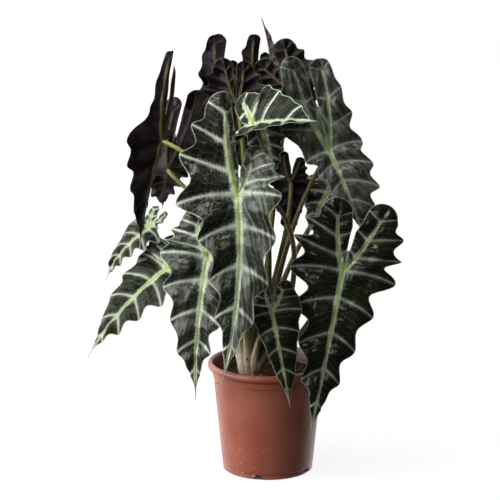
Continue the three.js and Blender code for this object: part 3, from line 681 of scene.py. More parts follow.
# One side of a blade is walked by a phase, from the notch between the lobes past the lobe's tip and the stalk
# to the apex. Each whole phase is a side vein. Negative feet are shares of the lobe's rib, positive ones of
# the midrib. Angles are a row's turn from its rib, and reach is a share of the half width.
NOTCH, LOBE, STALK, TIP, APEX = -5, -2.5, 1, 5, 6
PHASE = [NOTCH, -4, -3, LOBE, -2, -1, 0, STALK, 2, 3, 4, TIP, APEX]
INNER_FOOT = 0.52
FOOT = [0, -INNER_FOOT, -1, -1, -1, -0.62, -0.28, 0, 0.15, 0.35, 0.56, 0.76, 1]
STALK_ANGLE = 100
FRONT_ANGLE = 22
ANGLE = [0, 0, -60, 0, 55, 52, 60, STALK_ANGLE, 84, 74, 64, 50, 12]
TIP_REACH = 0.21
REACH = [0, 0, 0.34, 0.36, 0.4, 0.66, 0.92, 1, 0.82, 0.66, 0.48, TIP_REACH, 0]
SWEEP_PHASE = [NOTCH, -1, 0, STALK, TIP, APEX]
SWEEP = [0, -6, 0, 30, 26, 0]
TIP_HALF_WIDTH = 1.8
BELLY_PHASES = 4.6
THIRD, TWO_THIRDS = 0.33, 0.67
LOBE_RIB_BOW = (0.07, 0.05)
SHORTEST_RUN = 0.5
LEAN = 0.17
WEB_BLEND = 0.15
NOTCH_LIMIT = 0.85
DOME = 0.15
FAN_SHARE = 0.36
RIB_STEPS = 24
FULL_RELIEF_WIDTH = 25
WAVE_WIDTH = 44
FINE_OFFSETS = [0, 0.02, 0.045, 0.08, 0.13, 0.2, 0.3, 0.4, 0.5, 0.6, 0.7, 0.8, 0.87, 0.92, 0.955, 0.98]
PLAIN_OFFSETS = [0, 0.04, 0.09, 0.18, 0.32, 0.5, 0.68, 0.82, 0.91, 0.96]
INNER_RINGS = np.array([0, 0.5, 1, 1.6, 2.4])
OUTER_RINGS = np.array([*np.linspace(0, 0.94, 14)[1:], 0.975, 1])
INNER_SHARE = 0.4
FINE_FROM = 25

# The blade swells between its veins. It is thinnest at the margin, and its ribs and veins stand out of both
# faces. The widths of the ribs are in the blade itself, as they change along it.
QUILT_HEIGHT = 2.3
FULL_SWELL_LENGTH = 15
MIDRIB_TAPER, LOBE_RIB_TAPER = 0.88, 0.6
MARGIN_HALF, FULL_HALF, FULL_HALF_FROM = 0.12, 0.32, 4
RIB_ABOVE, RIB_BELOW = 0.45, 1.5
VEIN_ABOVE, VEIN_BELOW = 0.16, 0.55
VEIN_WIDTH_ABOVE, VEIN_WIDTH_BELOW = 0.8, 0.75
POINTS_PER_MM = 500


def unit(v):
    """Vectors brought to length 1; a zero vector stays zero."""
    return v / np.maximum(np.linalg.norm(v, axis=-1, keepdims=True), 1e-9)


def beside(v, axis):
    """What is left of vectors once their part along unit axes is taken away."""
    return v - axis * np.sum(v * axis, axis=-1, keepdims=True)


def clamp(x):
    return np.clip(x, 0, 1)


def smooth(x):
    x = clamp(x)
    return x * x * (3 - 2 * x)


def hump(x, width):
    """1 at 0, falling away on both sides over a width."""
    return np.exp(-(x / width) ** 2)


def blend(first, second, share):
    return first + (second - first) * np.asarray(share)[..., None]


def point(place):
    return np.array(place, float)


def bezier(points, share):
    """Places and directions on a curve with two control points, at many shares of it."""
    a, b, c, d = (point(place) for place in points)
    t = point(share)[..., None]
    place = a * (1 - t) ** 3 + 3 * b * t * (1 - t) ** 2 + 3 * c * (1 - t) * t ** 2 + d * t ** 3
    along = (b - a) * (1 - t) ** 2 + 2 * (c - b) * t * (1 - t) + (d - c) * t ** 2
    return place, unit(along)


class Spine:
    """A rib's curve, with an up direction carried along it."""

    def __init__(self, points, up):
        self.points = points
        self.ups = []
        for along in bezier(points, np.linspace(0, 1, RIB_STEPS + 1))[1]:
            up = unit(beside(up, along))
            self.ups.append(up)
        self.ups = np.array(self.ups)

    def frame(self, share):
        place, along = bezier(self.points, share)
        step = np.asarray(share) * RIB_STEPS
        low = np.clip(np.floor(step).astype(int), 0, RIB_STEPS - 1)
        return place, along, unit(blend(self.ups[low], self.ups[low + 1], step - low))


class Side:
    """One side of a leaf: its lobe's rib, and how it folds, curls and swells."""

    def __init__(self, leaf, index, hand):
        spec = leaf.spec
        reach = point(spec["lobes"][index]) - leaf.at
        self.hand = hand
        self.half = spec["width"][index]
        fan = FAN_SHARE * (1 + DOME) * self.half * spec["lobe"][index]
        run = reach * max(SHORTEST_RUN, 1 - fan / np.linalg.norm(reach))
        self.run = np.linalg.norm(run)
        out = leaf.across * hand * self.run
        low, high = (leaf.at + run * share + out * bow
                     for share, bow in zip((THIRD, TWO_THIRDS), LOBE_RIB_BOW))
        self.rib = Spine([leaf.at, low, high, leaf.at + run], leaf.up)
        self.folds = [spec.get("lobe_fold", spec["fold"])[index], spec["fold"][index]]
        self.curls = [spec.get("lobe_curl", spec["curl"])[index], spec["curl"][index]]
        self.lobe, self.belly = spec["lobe"][index], spec["belly"][index]
        self.painted_sheen = float(np.broadcast_to(spec["painted_sheen"], 2)[index])
        self.turn = 0 if hand > 0 else 1


class Leaf:
    """The middle surface of one leaf, as rows of points from its ribs to its margin."""

    def __init__(self, spec, seed):
        self.spec = {**USUAL, **spec}
        self.seed = seed
        self.at = point(spec["at"])
        tip = point(spec["tip"])
        chord = tip - self.at
        ahead = unit(chord)
        up = unit(beside(point(spec["face"]), ahead))
        push = up * self.spec["bow"] * 4 / 3 + np.cross(ahead, up) * self.spec["sway"] * 4 / 3
        low, high = (self.at + chord * share + push for share in (THIRD, TWO_THIRDS))
        self.midrib = Spine([self.at, low, high, tip], up)
        _, self.along, self.up = self.midrib.frame(0)
        self.across = np.cross(self.along, self.up)
        first, second = (point(tip) - self.at for tip in spec["lobes"])
        order = [1, 0] if np.dot(first - second, self.across) < 0 else [0, 1]
        self.sides = [Side(self, order[0], 1), Side(self, order[1], -1)]
        self.notch = unit(sum(side.rib.frame(0)[1] for side in self.sides))
        self.web = self.spec["web"] * min(side.run for side in self.sides)
        self.size = float(np.clip(min(side.half for side in self.sides) / FULL_RELIEF_WIDTH, 0.3, 1))

    def length(self, side, q):
        """How far the margin lies from the ribs. It swells at the end of each side vein."""
        x = clamp(q - TIP)
        beyond = TIP_REACH * (1 - x) ** 2.2 + 0.03 * np.sqrt(1 - x)
        reach = np.where(q > TIP, beyond, np.interp(q, PHASE, REACH))
        reach *= 1 + (side.lobe - 1) * (1 - smooth(q))
        reach *= 1 + side.belly * np.sin(np.pi * clamp((q - STALK) / BELLY_PHASES))
        pulse = (1 - 2 * np.abs(np.sin(np.pi * q)) ** 1.9) * smooth(np.abs(q - LOBE) - 0.5)
        pulse *= 1 - smooth(q - 4)
        vary = 1 + 0.25 * np.sin(2.3 * q + 5.1 * self.seed + 1.7 * side.turn)
        dome = 1 + DOME * clamp(1 - ((q - LOBE) * 2) ** 2)
        length = side.half * reach * dome * (1 + self.spec["lobing"] * vary * pulse)
        return np.maximum(length, TIP_HALF_WIDTH * np.sqrt(clamp((APEX - q) * 2)))

    def inward(self, side, foot, base):
        """From the lobe's rib to the margin inside the notch, which never reaches the other lobe."""
        offset = base - self.at
        away = beside(offset, self.notch)
        held = smooth(foot / (self.spec["web"] + WEB_BLEND))
        forward = (1 - held) * (self.web - offset @ self.notch) + held * LEAN * side.half
        across = np.minimum(self.spec["inner"] * side.half, NOTCH_LIMIT * np.linalg.norm(away, axis=-1))
        return self.notch * forward[:, None] - unit(away) * across[:, None]

    def fold(self, side, q):
        """How steeply the rows leave their rib, and how much more they turn up to the margin."""
        share = smooth((q + 1) / 2.5)
        flatten = smooth(q + 3) * (1 - 0.7 * smooth((q - 4.4) / 1.4))
        return [np.radians(low + (high - low) * share) * flatten for low, high in (side.folds, side.curls)]

    def wave(self, side, q, length):
        """How far the margin stands out of the blade, up at some rows and down at others."""
        ripple = -np.cos(2 * np.pi * q) * smooth(np.abs(q - LOBE) - 0.5)
        ripple += 0.5 * np.sin(1.9 * q + 3 * self.seed + 2 * side.turn)
        ripple *= smooth((q - NOTCH) / 2.5) * smooth((APEX - q) / 1.6)
        return self.spec["wave"] * side.half / WAVE_WIDTH * ripple * np.sqrt(clamp(length / side.half))

    def rows(self, side, q, shares):
        """The points of the rows at the phases q, at each row's shares of its length, and the lengths."""
        foot = np.interp(q, PHASE, FOOT)
        front = (q >= STALK)[:, None]
        parts = zip(self.midrib.frame(np.maximum(foot, 0)), side.rib.frame(np.maximum(-foot, 0)))
        base, along, up = (np.where(front, first, second) for first, second in parts)
        out = np.cross(along, up) * np.where(front, side.hand, -side.hand)
        middle = np.where(q < STALK, smooth((np.clip(q, -0.4, 1) + 0.4) / 1.4), 0)
        up = blend(up, self.up, np.where(q < -4, -4 - q, middle))
        angle = np.radians(np.interp(np.maximum(q, LOBE), PHASE, ANGLE))
        sweep = np.radians(np.interp(q, SWEEP_PHASE, SWEEP))
        centre = np.radians(STALK_ANGLE + FRONT_ANGLE * (1 - clamp(q)))
        inside = self.inward(side, np.maximum(-foot, 0), base)
        turned_in = clamp((LOBE - q) * 2)
        length = self.length(side, np.maximum(q, LOBE))
        length = length + (np.linalg.norm(inside, axis=-1) - length) * turned_in
        fold, curl = self.fold(side, q)
        lift = self.wave(side, q, length)
        place = base.copy()
        before = None
        fine = []
        for share in np.linspace(0, 1, RIB_STEPS + 1):
            turn = (angle - sweep * share)[:, None]
            here = (centre - sweep * share)[:, None]
            flat = blend(
                along * np.cos(turn) + out * np.sin(turn),
                self.along * np.cos(here) + self.across * np.sin(here) * side.hand, middle)
            flat = unit(blend(unit(flat), unit(inside), turned_in))
            normal = unit(beside(up, flat))
            tilt = (fold + curl * share)[:, None]
            step = flat * np.cos(tilt) + normal * np.sin(tilt)
            if before is not None:
                place = place + (before + step) * (length / 2 / RIB_STEPS)[:, None]
            before = step
            rise = normal * np.cos(tilt) - flat * np.sin(tilt)
            fine.append(place + rise * (lift * share * share)[:, None])
        fine = np.array(fine)
        index = shares * RIB_STEPS
        low = np.clip(np.floor(index).astype(int), 0, RIB_STEPS - 1)
        row = np.arange(len(q))[:, None]
        return blend(fine[low, row], fine[low + 1, row], index - low), length


def stations(offsets):
    """The phases of the rows of one side, and for each the phase whose side veins it takes.

    Inside the notch the rows stand at the same feet as those outside the lobe."""
    outer = np.array([whole + offset for whole in (-2, -1, 0) for offset in offsets] + [STALK])
    foot = -np.interp(outer, PHASE, FOOT)[::-1]
    inner = np.interp(foot, [0, INNER_FOOT, 1], [NOTCH, -4, -3])
    halves = [offset * 0.5 for offset in offsets]
    fan = np.array([-3 + half for half in halves[1:]] + [LOBE + half for half in halves])
    ahead = np.array([whole + offset for whole in (1, 2, 3, 4, 5) for offset in offsets][1:] + [APEX])
    fan_phase = -2 - np.minimum(fan + 3, -2 - fan)
    return (np.concatenate([inner, fan, outer, ahead]),
            np.concatenate([outer[::-1], fan_phase, outer, ahead]))


def from_line(points, line):
    """The distance of each point to a line of joined points."""
    start, span = line[:-1], np.diff(line, axis=0)
    offset = points[:, None] - start
    share = np.sum(offset * span, axis=-1) / np.maximum(np.sum(span * span, axis=-1), 1e-9)
    return np.linalg.norm(offset - span * clamp(share)[..., None], axis=-1).min(axis=1)


def from_veins(points, veins):
    """The distance of each point of a grid to the nearer of the two side veins it lies between."""
    rows, rings = points.shape[:2]
    lateral = np.full((rows, rings), np.inf)
    veins = sorted({0, *veins, rows - 1})
    for low, high in zip(veins, veins[1:]):
        block = points[low:high + 1].reshape(-1, 3)
        for line in (low, high):
            found = from_line(block, points[line]).reshape(-1, rings)
            lateral[low:high + 1] = np.minimum(lateral[low:high + 1], found)
    return lateral


def sine_between(first, second):
    return np.linalg.norm(np.cross(unit(first), unit(second)), axis=-1)


def in_fan(q):
    """Whether a phase lies in the fan of rows at the lobe's tip."""
    return (q > -3) & (q < -2)


def pucker(phase, out, seed, turn):
    """The uneven swellings of the blade, in millimetres."""
    broad = noise.noise((out * 0.065, phase * 1.7, seed * 7 + turn * 3))
    return 2.0 * broad + 0.5 * noise.noise((out * 0.16, phase * 4, seed * 5 + turn))


def swelling(q, phase, out, seed, turn):
    """How far the blade swells between its side veins, in millimetres."""
    quilt = np.where(in_fan(q), np.sin(2 * np.pi * (q + 3)) ** 2, np.sin(np.pi * phase) ** 2)
    small = [[pucker(here, away, seed, turn) for away in row] for here, row in zip(phase, out)]
    return QUILT_HEIGHT * quilt[:, None] + np.array(small)


def surface_of(leaf, side):
    """The grid of points of one side, with what the finish reads at each: distances in millimetres."""
    q, phase = stations(FINE_OFFSETS if side.half > FINE_FROM else PLAIN_OFFSETS)
    foot = np.abs(np.interp(q, PHASE, FOOT))
    outline = leaf.rows(side, q, np.ones((len(q), 1)))[1]
    edge = np.minimum(INNER_SHARE, INNER_RINGS[-1] / np.maximum(outline, 1e-6))[:, None]
    shares = np.hstack([INNER_RINGS / INNER_RINGS[-1] * edge, edge + (1 - edge) * OUTER_RINGS])
    points, length = leaf.rows(side, q, shares)
    whole = np.abs(phase - np.round(phase)) < 1e-9
    lateral = from_veins(points, np.nonzero(whole & ~in_fan(q))[0][::leaf.spec["each"]])
    skeleton = np.gradient(points[:, 0], axis=0)
    rib_sine = sine_between(points[:, 2] - points[:, 0], skeleton)
    rib_sine[np.linalg.norm(skeleton, axis=-1) < 1e-6] = 1
    rib_sine = np.where((q >= -3) & (q <= -2), 1, rib_sine)
    out = shares * length[:, None]
    margin_way = np.gradient(points[:, -1], axis=0)
    margin = (length[:, None] - out) * sine_between(points[:, -1] - points[:, -2], margin_way)[:, None]
    swell = swelling(q, phase, out, leaf.seed, side.turn)
    full = np.minimum(1, length / FULL_SWELL_LENGTH)[:, None]
    swell = leaf.size * swell * np.sin(np.pi * shares ** 0.9) * full
    taper = 1 - np.where(q >= STALK, MIDRIB_TAPER, LOBE_RIB_TAPER) * foot
    along = foot * np.where(q >= STALK, np.linalg.norm(leaf.midrib.points[3] - leaf.at), side.run)

    def kept(*values):
        """Three numbers at each point, each given for the points, for the rows or for the side."""
        grids = [value[:, None] if np.ndim(value) == 1 else value for value in values]
        return np.stack([np.broadcast_to(grid, shares.shape) for grid in grids], axis=-1)

    return points, {
        "near": kept(lateral, out * rib_sine[:, None], margin),
        "way": kept(along, out, shares),
        "kind": kept(taper * leaf.size, side.painted_sheen, phase),
        "look": kept(leaf.spec["pale"], leaf.seed, foot),
        "shape": kept(swell, taper, shares),
    }


def sheet_of(leaf):
    """The middle surface of a whole leaf: its points, what is kept at each, and its faces."""
    grids = [surface_of(leaf, side) for side in leaf.sides]
    places = np.concatenate([points.reshape(-1, 3) for points, _ in grids])
    _, first, number = np.unique(
        np.round(places * POINTS_PER_MM).astype(int), axis=0, return_index=True, return_inverse=True)
    number = number.reshape(-1)
    faces = []
    start = 0
    for side, (points, _) in zip(leaf.sides, grids):
        rows, rings = points.shape[:2]
        grid = number[start:start + rows * rings].reshape(rows, rings)
        start += rows * rings
        corners = [grid[:-1, :-1], grid[1:, :-1], grid[1:, 1:], grid[:-1, 1:]]
        block = np.stack(corners, axis=-1).reshape(-1, 4)
        faces.append(block[:, ::-1] if side.hand > 0 else block)
    kept = {key: np.concatenate([values[key].reshape(-1, 3) for _, values in grids])[first]
            for key in grids[0][1]}
    return places[first], kept, np.concatenate(faces)


def normals_of(points, faces):
    normals = np.zeros(points.shape)
    across = np.cross(points[faces[:, 2]] - points[faces[:, 0]], points[faces[:, 3]] - points[faces[:, 1]])
    for corner in faces.T:
        np.add.at(normals, corner, across)
    return unit(normals)


def keep(mesh, key, values):
    """Keeps three numbers at each point of a mesh, for its finish."""
    layer = mesh.attributes.new(key, "FLOAT_VECTOR", "POINT")
    layer.data.foreach_set("vector", np.asarray(values, np.float32).ravel())


def blade(name, leaf):
    """A leaf's middle surface closed into a thin body, with its ribs and veins standing out."""
    points, kept, faces = sheet_of(leaf)
    lateral, rib, margin = kept["near"].T
    swell, taper, share = kept["shape"].T
    points = points + normals_of(points, faces) * swell[:, None]
    normals = normals_of(points, faces)
    size = leaf.size
    fading = (1 - share) ** 0.6
    half = MARGIN_HALF + (FULL_HALF - MARGIN_HALF) * np.minimum(1, margin / FULL_HALF_FROM)
    above = RIB_ABOVE * size * taper * hump(rib, 0.8 + 0.9 * taper)
    above += VEIN_ABOVE * size * fading * hump(lateral, VEIN_WIDTH_ABOVE)
    below = RIB_BELOW * size * taper * hump(rib, 0.6 + 1.3 * taper * size)
    veins_below = VEIN_BELOW * size * (0.5 + 0.5 * taper) * fading * hump(lateral, VEIN_WIDTH_BELOW)
    below = np.maximum(below, veins_below)
    upper = points + normals * (half + above)[:, None]
    lower = points - normals * (half + below)[:, None]
    count = len(points)
    fresh = [list(dict.fromkeys(face)) for face in faces.tolist()]
    fresh = [face for face in fresh if len(face) > 2]
    open_edges = {}
    for face in fresh:
        for a, b in zip(face, face[1:] + face[:1]):
            if open_edges.pop((b, a), None) is None:
                open_edges[(a, b)] = True
    rim = [(a, a + count, b + count, b) for a, b in open_edges]
    every = fresh + [[corner + count for corner in face[::-1]] for face in fresh] + rim
    mesh = mesh_from(name, np.concatenate([upper, lower]), every)
    material = [0] * len(fresh) + [1] * len(fresh) + [2] * len(rim)
    mesh.polygons.foreach_set("material_index", material)
    for key in ("near", "way", "kind", "look"):
        keep(mesh, key, np.concatenate([kept[key], kept[key]]))
    mesh.set_sharp_from_angle(angle=math.radians(70))
    return add_object(name, mesh)


class LeafFinish(Finish):
    """A finish that reads what the blade's mesh keeps at each point."""

    def __init__(self, name):
        super().__init__(name)
        self.lateral, self.rib, self.margin = self.attribute("near")
        self.along, self.out, self.share = self.attribute("way")
        self.taper, painted_sheen, self.phase = self.attribute("kind")
        self.pale, self.seed, self.foot = self.attribute("look")
        self.painted_sheen_share = painted_sheen.math("MAXIMUM", 0.0)
        self.young = painted_sheen.step(-0.1, -0.9)


def face_finish(name, gloss):
    """The upper face: black-green, with pale feathered veins and a pale margin, and grey in places as a
    painted reflection of light glancing off it.
    """
    finish = LeafFinish(name)
    lateral, rib, out, share = finish.lateral, finish.rib, finish.out, finish.share
    taper, phase, pale, seed = finish.taper, finish.phase, finish.pale, finish.seed
    cloud = finish.noise(55, 3)
    mottle = finish.noise(430, 3, 0.65)
    barbs = finish.noise(1, 3, 0.65, (out * 0.8, lateral * 0.12, phase * 0.6 + seed))
    rib_barbs = finish.noise(1, 3, 0.65, (finish.along * 0.75, rib * 0.12, seed))
    bent_phase = phase + (finish.noise(1, 3, 0.5, (out * 0.1, phase * 1.3, seed)) - 0.5) * 0.5
    fine = (bent_phase * 5).math("PINGPONG", 0.5).step(0.1, 0.0) * lateral.step(0.5, 2.2) * rib.step(1.5, 3.5)
    warp = finish.noise(1, 2, 0.5, (out * 0.06, phase * 1.1, seed))
    streak = finish.noise(1, 2, 0.5, (out * 0.26 - phase * 3 + warp * 3, phase * 0.7 + warp, seed * 3))

    width = (taper * 0.8 + 0.7) * (1.3 - share * 0.7)
    core = (lateral / (width * (barbs * 0.9 + 0.5))).step(1.2, 0.5)
    feather = (lateral / (width * (barbs * 4.4 - 0.3)).math("MAXIMUM", 0.05)).step(1.5, 0.2)
    vein = (core * 0.95).math("MAXIMUM", feather * (pale * 0.4 + 0.1))
    vein_core = (lateral / width).step(0.5, 0.25) * share.step(0.7, 0.1)
    rib_width = (taper * 3.0 + 0.65) * (pale * 0.5 + 0.5)
    rib_pale = (rib / (rib_width * (rib_barbs * 1.7 + 0.35))).step(1.35, 0.65)
    rib_core = (rib / rib_width).step(0.62, 0.3)
    haze = lateral.step(7, 0).math("MAXIMUM", rib.step(9, 0)) * (barbs * 1.2)
    # Painted reflection: grey haze by the veins and grey streaks stand for light glancing off the glossy
    # face, scaled by the leaf's painted sheen.
    painted_sheen_grey = finish.painted_sheen_share * (haze * 0.3 + streak.step(0.36, 0.74) * 0.75 + 0.06)
    bud = finish.mix(cloud.step(0.4, 0.6), (104, 104, 78), (112, 96, 92))
    green_rib = finish.mix(pale, (108, 122, 46), (152, 168, 112))
    green_rib = finish.mix(taper.step(0.35, 0.9), green_rib, (150, 176, 56))

    finish.base(cloud.step(0.3, 0.7), (11, 14, 3), (27, 33, 10))
    # The painted reflection laid over the face; the fine veins show more where it lies.
    finish.layer(painted_sheen_grey.math("MINIMUM", 0.75), (134, 139, 129))
    finish.layer(fine * (painted_sheen_grey * 0.4 + pale * 0.18 + 0.03), (140, 150, 136))
    finish.layer(finish.young * 0.75, bud)
    finish.layer(vein * pale, (214, 222, 202))
    finish.layer(vein_core * 0.65, (118, 134, 78))
    finish.layer(rib_pale * (pale * 0.6 + 0.35), (196, 206, 178))
    finish.layer(rib_core * 0.8, green_rib)
    finish.layer(finish.margin.step(1.0, 0.35) * (pale * 0.5 + 0.4), (176, 186, 160))
    finish.layer(finish.foot.step(0.965, 1.0) * taper.step(0.3, 0.12), (104, 112, 58))
    swelling = finish.bump(finish.noise(60, 1), 0.005)
    streaked = finish.bump(streak * (finish.painted_sheen_share * 0.9 + 0.15), 0.0024, swelling)
    normal = finish.bump(mottle * 0.06 - fine * 0.5, 0.00014, streaked)
    return finish.done(mottle * 0.03 + vein * 0.14 + finish.painted_sheen_share * 0.12 + 0.16, normal, gloss)


def under_finish():
    """The dull underside: dark purple with olive ribs, and a painted mauve sheen where the face has painted
    sheen.
    """
    finish = LeafFinish("leaf underside")
    cloud = finish.noise(60, 3)
    mottle = finish.noise(420, 3, 0.6)
    fine = (finish.phase * 5).math("PINGPONG", 0.5).step(0.1, 0.02) * finish.lateral.step(0.8, 2.5)
    vein = finish.lateral.step(1.3, 0.4) * (1 - finish.share * 0.5)
    finish.base(cloud.step(0.3, 0.72), (8, 5, 6), (18, 11, 13))
    # Painted sheen: mauve where light glances off the underside, on the sides whose face has painted sheen.
    finish.layer(finish.painted_sheen_share * cloud.step(0.35, 0.65) * 0.8, (146, 122, 142))
    finish.layer(mottle.step(0.45, 0.75) * 0.1, (84, 60, 68))
    finish.layer(fine * 0.2, (20, 12, 16))
    finish.layer(vein * 0.35, (84, 60, 54))
    finish.layer((finish.rib / (finish.taper * 1.6 + 0.5)).step(1.25, 0.6) * 0.75, (96, 90, 52))
    finish.layer(finish.margin.step(1.0, 0.4) * 0.4, (110, 100, 84))
    finish.layer(finish.young * 0.6, (104, 90, 92))
    return finish.done(mottle * 0.15 + 0.45, finish.bump(mottle, 0.00025), 0.25)


def edge_finish():
    """The pale rim of a blade."""
    finish = Finish("leaf margin")
    cloud = finish.noise(140, 2)
    finish.base(cloud, (150, 160, 128), (186, 192, 164))
    return finish.done(cloud * 0.1 + 0.4)


SATIN_LEAVES = ("lowLeft", "backLeft", "middle", "lowFront")
glossy_face = face_finish("glossy leaf face", 0.4)
satin_face = face_finish("satin leaf face", 0.1)
underside = under_finish()
margin_skin = edge_finish()
grown = {name: Leaf(spec, seed) for seed, (name, spec) in enumerate(LEAVES.items(), 1)}
for name, leaf in grown.items():
    piece = blade(f"leaf_{name}", leaf)
    wear(piece, satin_face if name in SATIN_LEAVES else glossy_face, underside, margin_skin)
    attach(piece, "root")
    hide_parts(f"blade_{name}")


# Stalks: round fleshy stalks, thick at the foot and slim at the top, streaked olive and brown. Each swells a
# little where it bends into its blade, and meets the blade from below.
OUTER_SLOTS, OUTER_RING = 13, 15.5
INNER_SLOTS, INNER_RING = 5, 7.6
STALK_FOOT_RADIUS = 3.3
STALK_END_RADIUS = 1.9
STALK_SUNK = 14
STALK_SIDES = 16
STALK_ROWS = 60
BEND_SWELL, BEND_FROM_END, BEND_LENGTH = 0.12, 9, 6
GROOVE_DEPTH, GROOVE_WIDTH = 0.1, 0.45
END_ROUNDING = 1.6
BLADE_THICKNESS = 0.8
LOWER_RIB = 1.3


def slot_place(slot, z, share=1):
    """The place of a stalk's foot in the crown."""
    outer = slot < OUTER_SLOTS
    turn = slot / OUTER_SLOTS if outer else (slot - OUTER_SLOTS + 0.5) / INNER_SLOTS
    radius = (OUTER_RING if outer else INNER_RING) * share
    angle = turn * 2 * math.pi
    return np.array([CROWN[0] + radius * math.cos(angle), CROWN[1] + radius * math.sin(angle), z])


def outward(place):
    """The level way from the middle of the crown to a place."""
    return np.array([place[0] - CROWN[0], place[1] - CROWN[1], 0])


def tube(centres, radii, first_side):
    """The points and faces of a closed tube round a line of centres, carried without twist.

    Radii is a row for each centre and a column for each side of the tube."""
    rows, sides = radii.shape
    turn = around(sides)
    side = first_side
    rings = []
    for centre, way, radius in zip(centres, unit(np.gradient(centres, axis=0)), radii):
        side = unit(beside(side, way))
        round_way = np.cos(turn)[:, None] * side + np.sin(turn)[:, None] * np.cross(way, side)
        rings.append(centre + radius[:, None] * round_way)
    faces = []
    last = (rows - 1) * sides
    for i in range(sides):
        ahead = (i + 1) % sides
        faces += strip(0, rows, sides, i)
        faces += [(rows * sides, ahead, i), (rows * sides + 1, last + i, last + ahead)]
    return np.concatenate([*rings, centres[:1], centres[-1:]]), faces


def length_along(centres):
    return np.concatenate([[0], np.cumsum(np.linalg.norm(np.diff(centres, axis=0), axis=1))])


def tube_lines(far, across, tint):
    """What a tube's mesh keeps at each point: the way along it in mm, a measure across it, and a tint."""
    along = np.concatenate([np.repeat(far, len(across)), far[[0, -1]]])
    sides = np.concatenate([np.tile(across, len(far)), [0, 0]])
    return np.stack([along, sides, np.full(len(along), tint)], axis=-1)


def stalk_curve(leaf):
    start = slot_place(leaf.spec["slot"], leaf.spec["foot"])
    low, high = (point(bend) for bend in leaf.spec["bend"])
    tilt = math.acos(float(np.clip(unit(leaf.at - high) @ leaf.up, -1, 1)))
    clear = BLADE_THICKNESS / 2 + LOWER_RIB * leaf.size * 0.4 + STALK_END_RADIUS * math.sin(tilt) * 0.75
    return [start, low, high, leaf.at - leaf.up * clear]


def stalk(name, leaf):
    """A tapering stalk, sunk into its sheath below and closed with a rounded end under its blade."""
    centres, ways = bezier(stalk_curve(leaf), np.linspace(0, 1, STALK_ROWS) ** 0.9)
    sunk = centres[0] - ways[0] * np.array([[STALK_SUNK], [9], [4]])
    centres = np.concatenate([sunk, centres])
    far = length_along(centres)
    left = far[-1] - far
    share = clamp((far - STALK_SUNK) / (far[-1] - STALK_SUNK))
    radius = STALK_FOOT_RADIUS + (STALK_END_RADIUS - STALK_FOOT_RADIUS) * share
    radius = radius * (1 + BEND_SWELL * hump(left - BEND_FROM_END, BEND_LENGTH))
    radius = radius * np.sqrt(clamp(1 - (1 - np.minimum(1, left / END_ROUNDING)) ** 2 * 0.8))
    turn = around(STALK_SIDES)
    groove = 1 - GROOVE_DEPTH * hump(turn - math.pi, GROOVE_WIDTH) + 0.015 * np.cos(turn * 5)
    mesh = mesh_from(name, *tube(centres, radius[:, None] * groove, outward(centres[0])))
    keep(mesh, "line", tube_lines(far, turn, leaf.spec["green"]))
    return add_object(name, mesh)


def stalk_finish():
    """Smooth skin with fine lengthwise streaks and small dark flecks, brown, olive or bright green."""
    finish = Finish("stalk skin")
    far, turn, green = finish.attribute("line")
    across, behind = turn.math("COSINE"), turn.math("SINE")
    streak = finish.noise(1.6, 3, 0.6, (across * 3.2, behind * 3.2, far * 0.045))
    fleck = finish.noise(1.7, 2, 0.5, (across * 3, behind * 3, far * 0.35))
    cloud = finish.noise(32, 2)
    finish.base(cloud, (104, 74, 44), (132, 104, 62))
    finish.layer((green * 2).step(0, 1), finish.mix(cloud, (92, 104, 44), (128, 132, 62)))
    finish.layer(green.step(0.55, 1.0), finish.mix(cloud, (140, 150, 64), (170, 176, 92)))
    finish.layer(streak.step(0.46, 0.66) * 0.5, (84, 58, 42))
    finish.layer(streak.step(0.46, 0.3) * 0.4, (158, 158, 100))
    finish.layer(fleck.step(0.64, 0.72) * 0.6, (62, 40, 34))
    return finish.done(streak * 0.12 + 0.36, finish.bump(streak, 0.0004))


skin = stalk_finish()
for name, leaf in grown.items():
    piece = stalk(f"petiole_{name}", leaf)
    wear(piece, skin)
    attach(piece, "root")
    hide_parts(f"stalk_{name}")


# Crown: a short stem hidden by the sheathed feet of the stalks, which clasp one another. The sheaths are
# tan to mauve, ribbed and specked, with thin dry edges that run up the inner side of each stalk.
STEM_RADIUS = 10
STEM_FOOT_Z = 72
STEM_TOP_Z = 112
STEM_SIDES = 40
SHEATH_SIDES = 28
SHEATH_ROWS = 16
SHEATH_FOOT_Z = STEM_FOOT_Z + 9
SHEATH_REACH = 0.14
SHEATH_FLARE, SHEATH_WAIST, SHEATH_THINNING = 1.72, 0.58, 0.14
EDGE_TURNS = (math.pi - 0.75, math.pi + 0.75)
EDGE_WIDTH = 0.16
EDGE_HEIGHT = 0.42


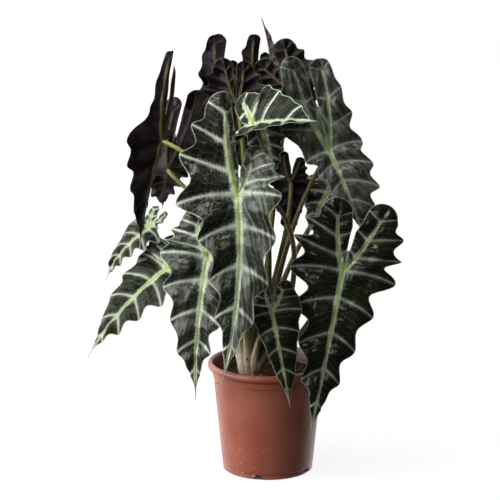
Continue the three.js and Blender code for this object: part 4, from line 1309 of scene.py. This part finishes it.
def sheath(leaf):
    """One stalk's foot: a ribbed tube that widens below, with two thin edges on its inner side."""
    curve = stalk_curve(leaf)
    place, way = bezier(curve, np.array([0.0]))
    top, lean = place[0], way[0]
    slot = leaf.spec["slot"]
    low = slot_place(slot, SHEATH_FOOT_Z + slot * 0.17, 0.5)
    rise = leaf.spec["foot"] - low[2]
    bends = [low, low + (0, 0, rise * 0.4), top - lean * rise * 0.3, top]
    lower, _ = bezier(bends, np.linspace(0, 1, SHEATH_ROWS))
    upper, _ = bezier(curve, np.linspace(0.02, SHEATH_REACH, 7))
    centres = np.concatenate([lower, upper])
    far = length_along(centres)
    joint = far[SHEATH_ROWS - 1]
    share = clamp(far / joint)
    beyond = clamp((far - joint) / (far[-1] - joint))
    radius = STALK_FOOT_RADIUS * (SHEATH_FLARE - SHEATH_WAIST * share) * (1 - SHEATH_THINNING * beyond)
    turn = around(SHEATH_SIDES)
    ribs = 1 + 0.025 * np.cos(turn * 7 + slot) + 0.015 * np.cos(turn * 11)
    edges = sum(hump(turn - middle, EDGE_WIDTH) for middle in EDGE_TURNS)
    wing = (EDGE_HEIGHT * (1 - beyond) ** 1.5 * smooth(share * 1.6))[:, None] * edges
    wobble = 1 + 0.03 * np.sin(far * 0.35 + slot)[:, None]
    points, faces = tube(centres, radius[:, None] * (ribs * wobble + wing), outward(top))
    return points, faces, tube_lines(far, edges, 0.5 + 0.5 * math.sin(slot * 2.4))


def crown_mesh():
    """All the sheaths and the stem between them, as one mesh."""
    outline = [(0, STEM_FOOT_Z), (7, STEM_FOOT_Z), (STEM_RADIUS, 84), (STEM_RADIUS, 102),
               (STEM_RADIUS - 2, STEM_TOP_Z - 3), (STEM_RADIUS - 7, STEM_TOP_Z), (0, STEM_TOP_Z + 1)]
    stem = turned("stem", rounded(outline, 2), STEM_SIDES)
    points = [np.array([vertex.co[:] for vertex in stem.vertices]) / MM + (*CROWN, 0)]
    faces = [tuple(face.vertices) for face in stem.polygons]
    values = [np.tile([0, 0, 0.5], (len(points[0]), 1))]
    bpy.data.meshes.remove(stem)
    for leaf in grown.values():
        count = sum(map(len, points))
        more, more_faces, more_values = sheath(leaf)
        faces += [tuple(corner + count for corner in face) for face in more_faces]
        points.append(more)
        values.append(more_values)
    mesh = mesh_from("sheaths", np.concatenate(points), faces)
    keep(mesh, "line", np.concatenate(values))
    return mesh


def sheath_finish():
    """Papery skin, tan to mauve, with lengthwise veins and dark specks. It is green above, dark on the side
    away from the light and dark at the soil."""
    finish = Finish("sheath skin")
    x, y, z = finish.split(finish.place)
    _, edge, tint = finish.attribute("line")
    strands = finish.noise(1100, 3, 0.6, (x, y, z * 0.07))
    cloud = finish.noise(90, 3, 0.5, (x, y, z * 0.4))
    speck = finish.noise(950, 1, 0.5, (x, y, z * 0.5))
    finish.base((cloud + tint * 0.3).step(0.45, 0.85), (244, 232, 204), (206, 176, 156))
    finish.layer(z.step(0.112, 0.132) * 0.6, (150, 148, 84))
    finish.layer(strands.step(0.45, 0.7) * 0.5, (104, 78, 58))
    finish.layer(strands.step(0.45, 0.25) * 0.4, (206, 194, 152))
    finish.layer(speck.step(0.66, 0.72) * 0.8, (52, 34, 28))
    finish.layer(edge.step(0.3, 0.9) * 0.7, (198, 186, 142))
    finish.layer(x.step(-0.0125, -0.0085) * 0.75, (64, 44, 32))
    finish.layer(z.step(0.1, 0.094) * 0.7, (60, 42, 30))
    return finish.done(strands * 0.15 + 0.48, finish.bump(strands, 0.0005))


crown = add_object("sheaths", crown_mesh())
wear(crown, sheath_finish())
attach(crown, "root")
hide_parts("crown")
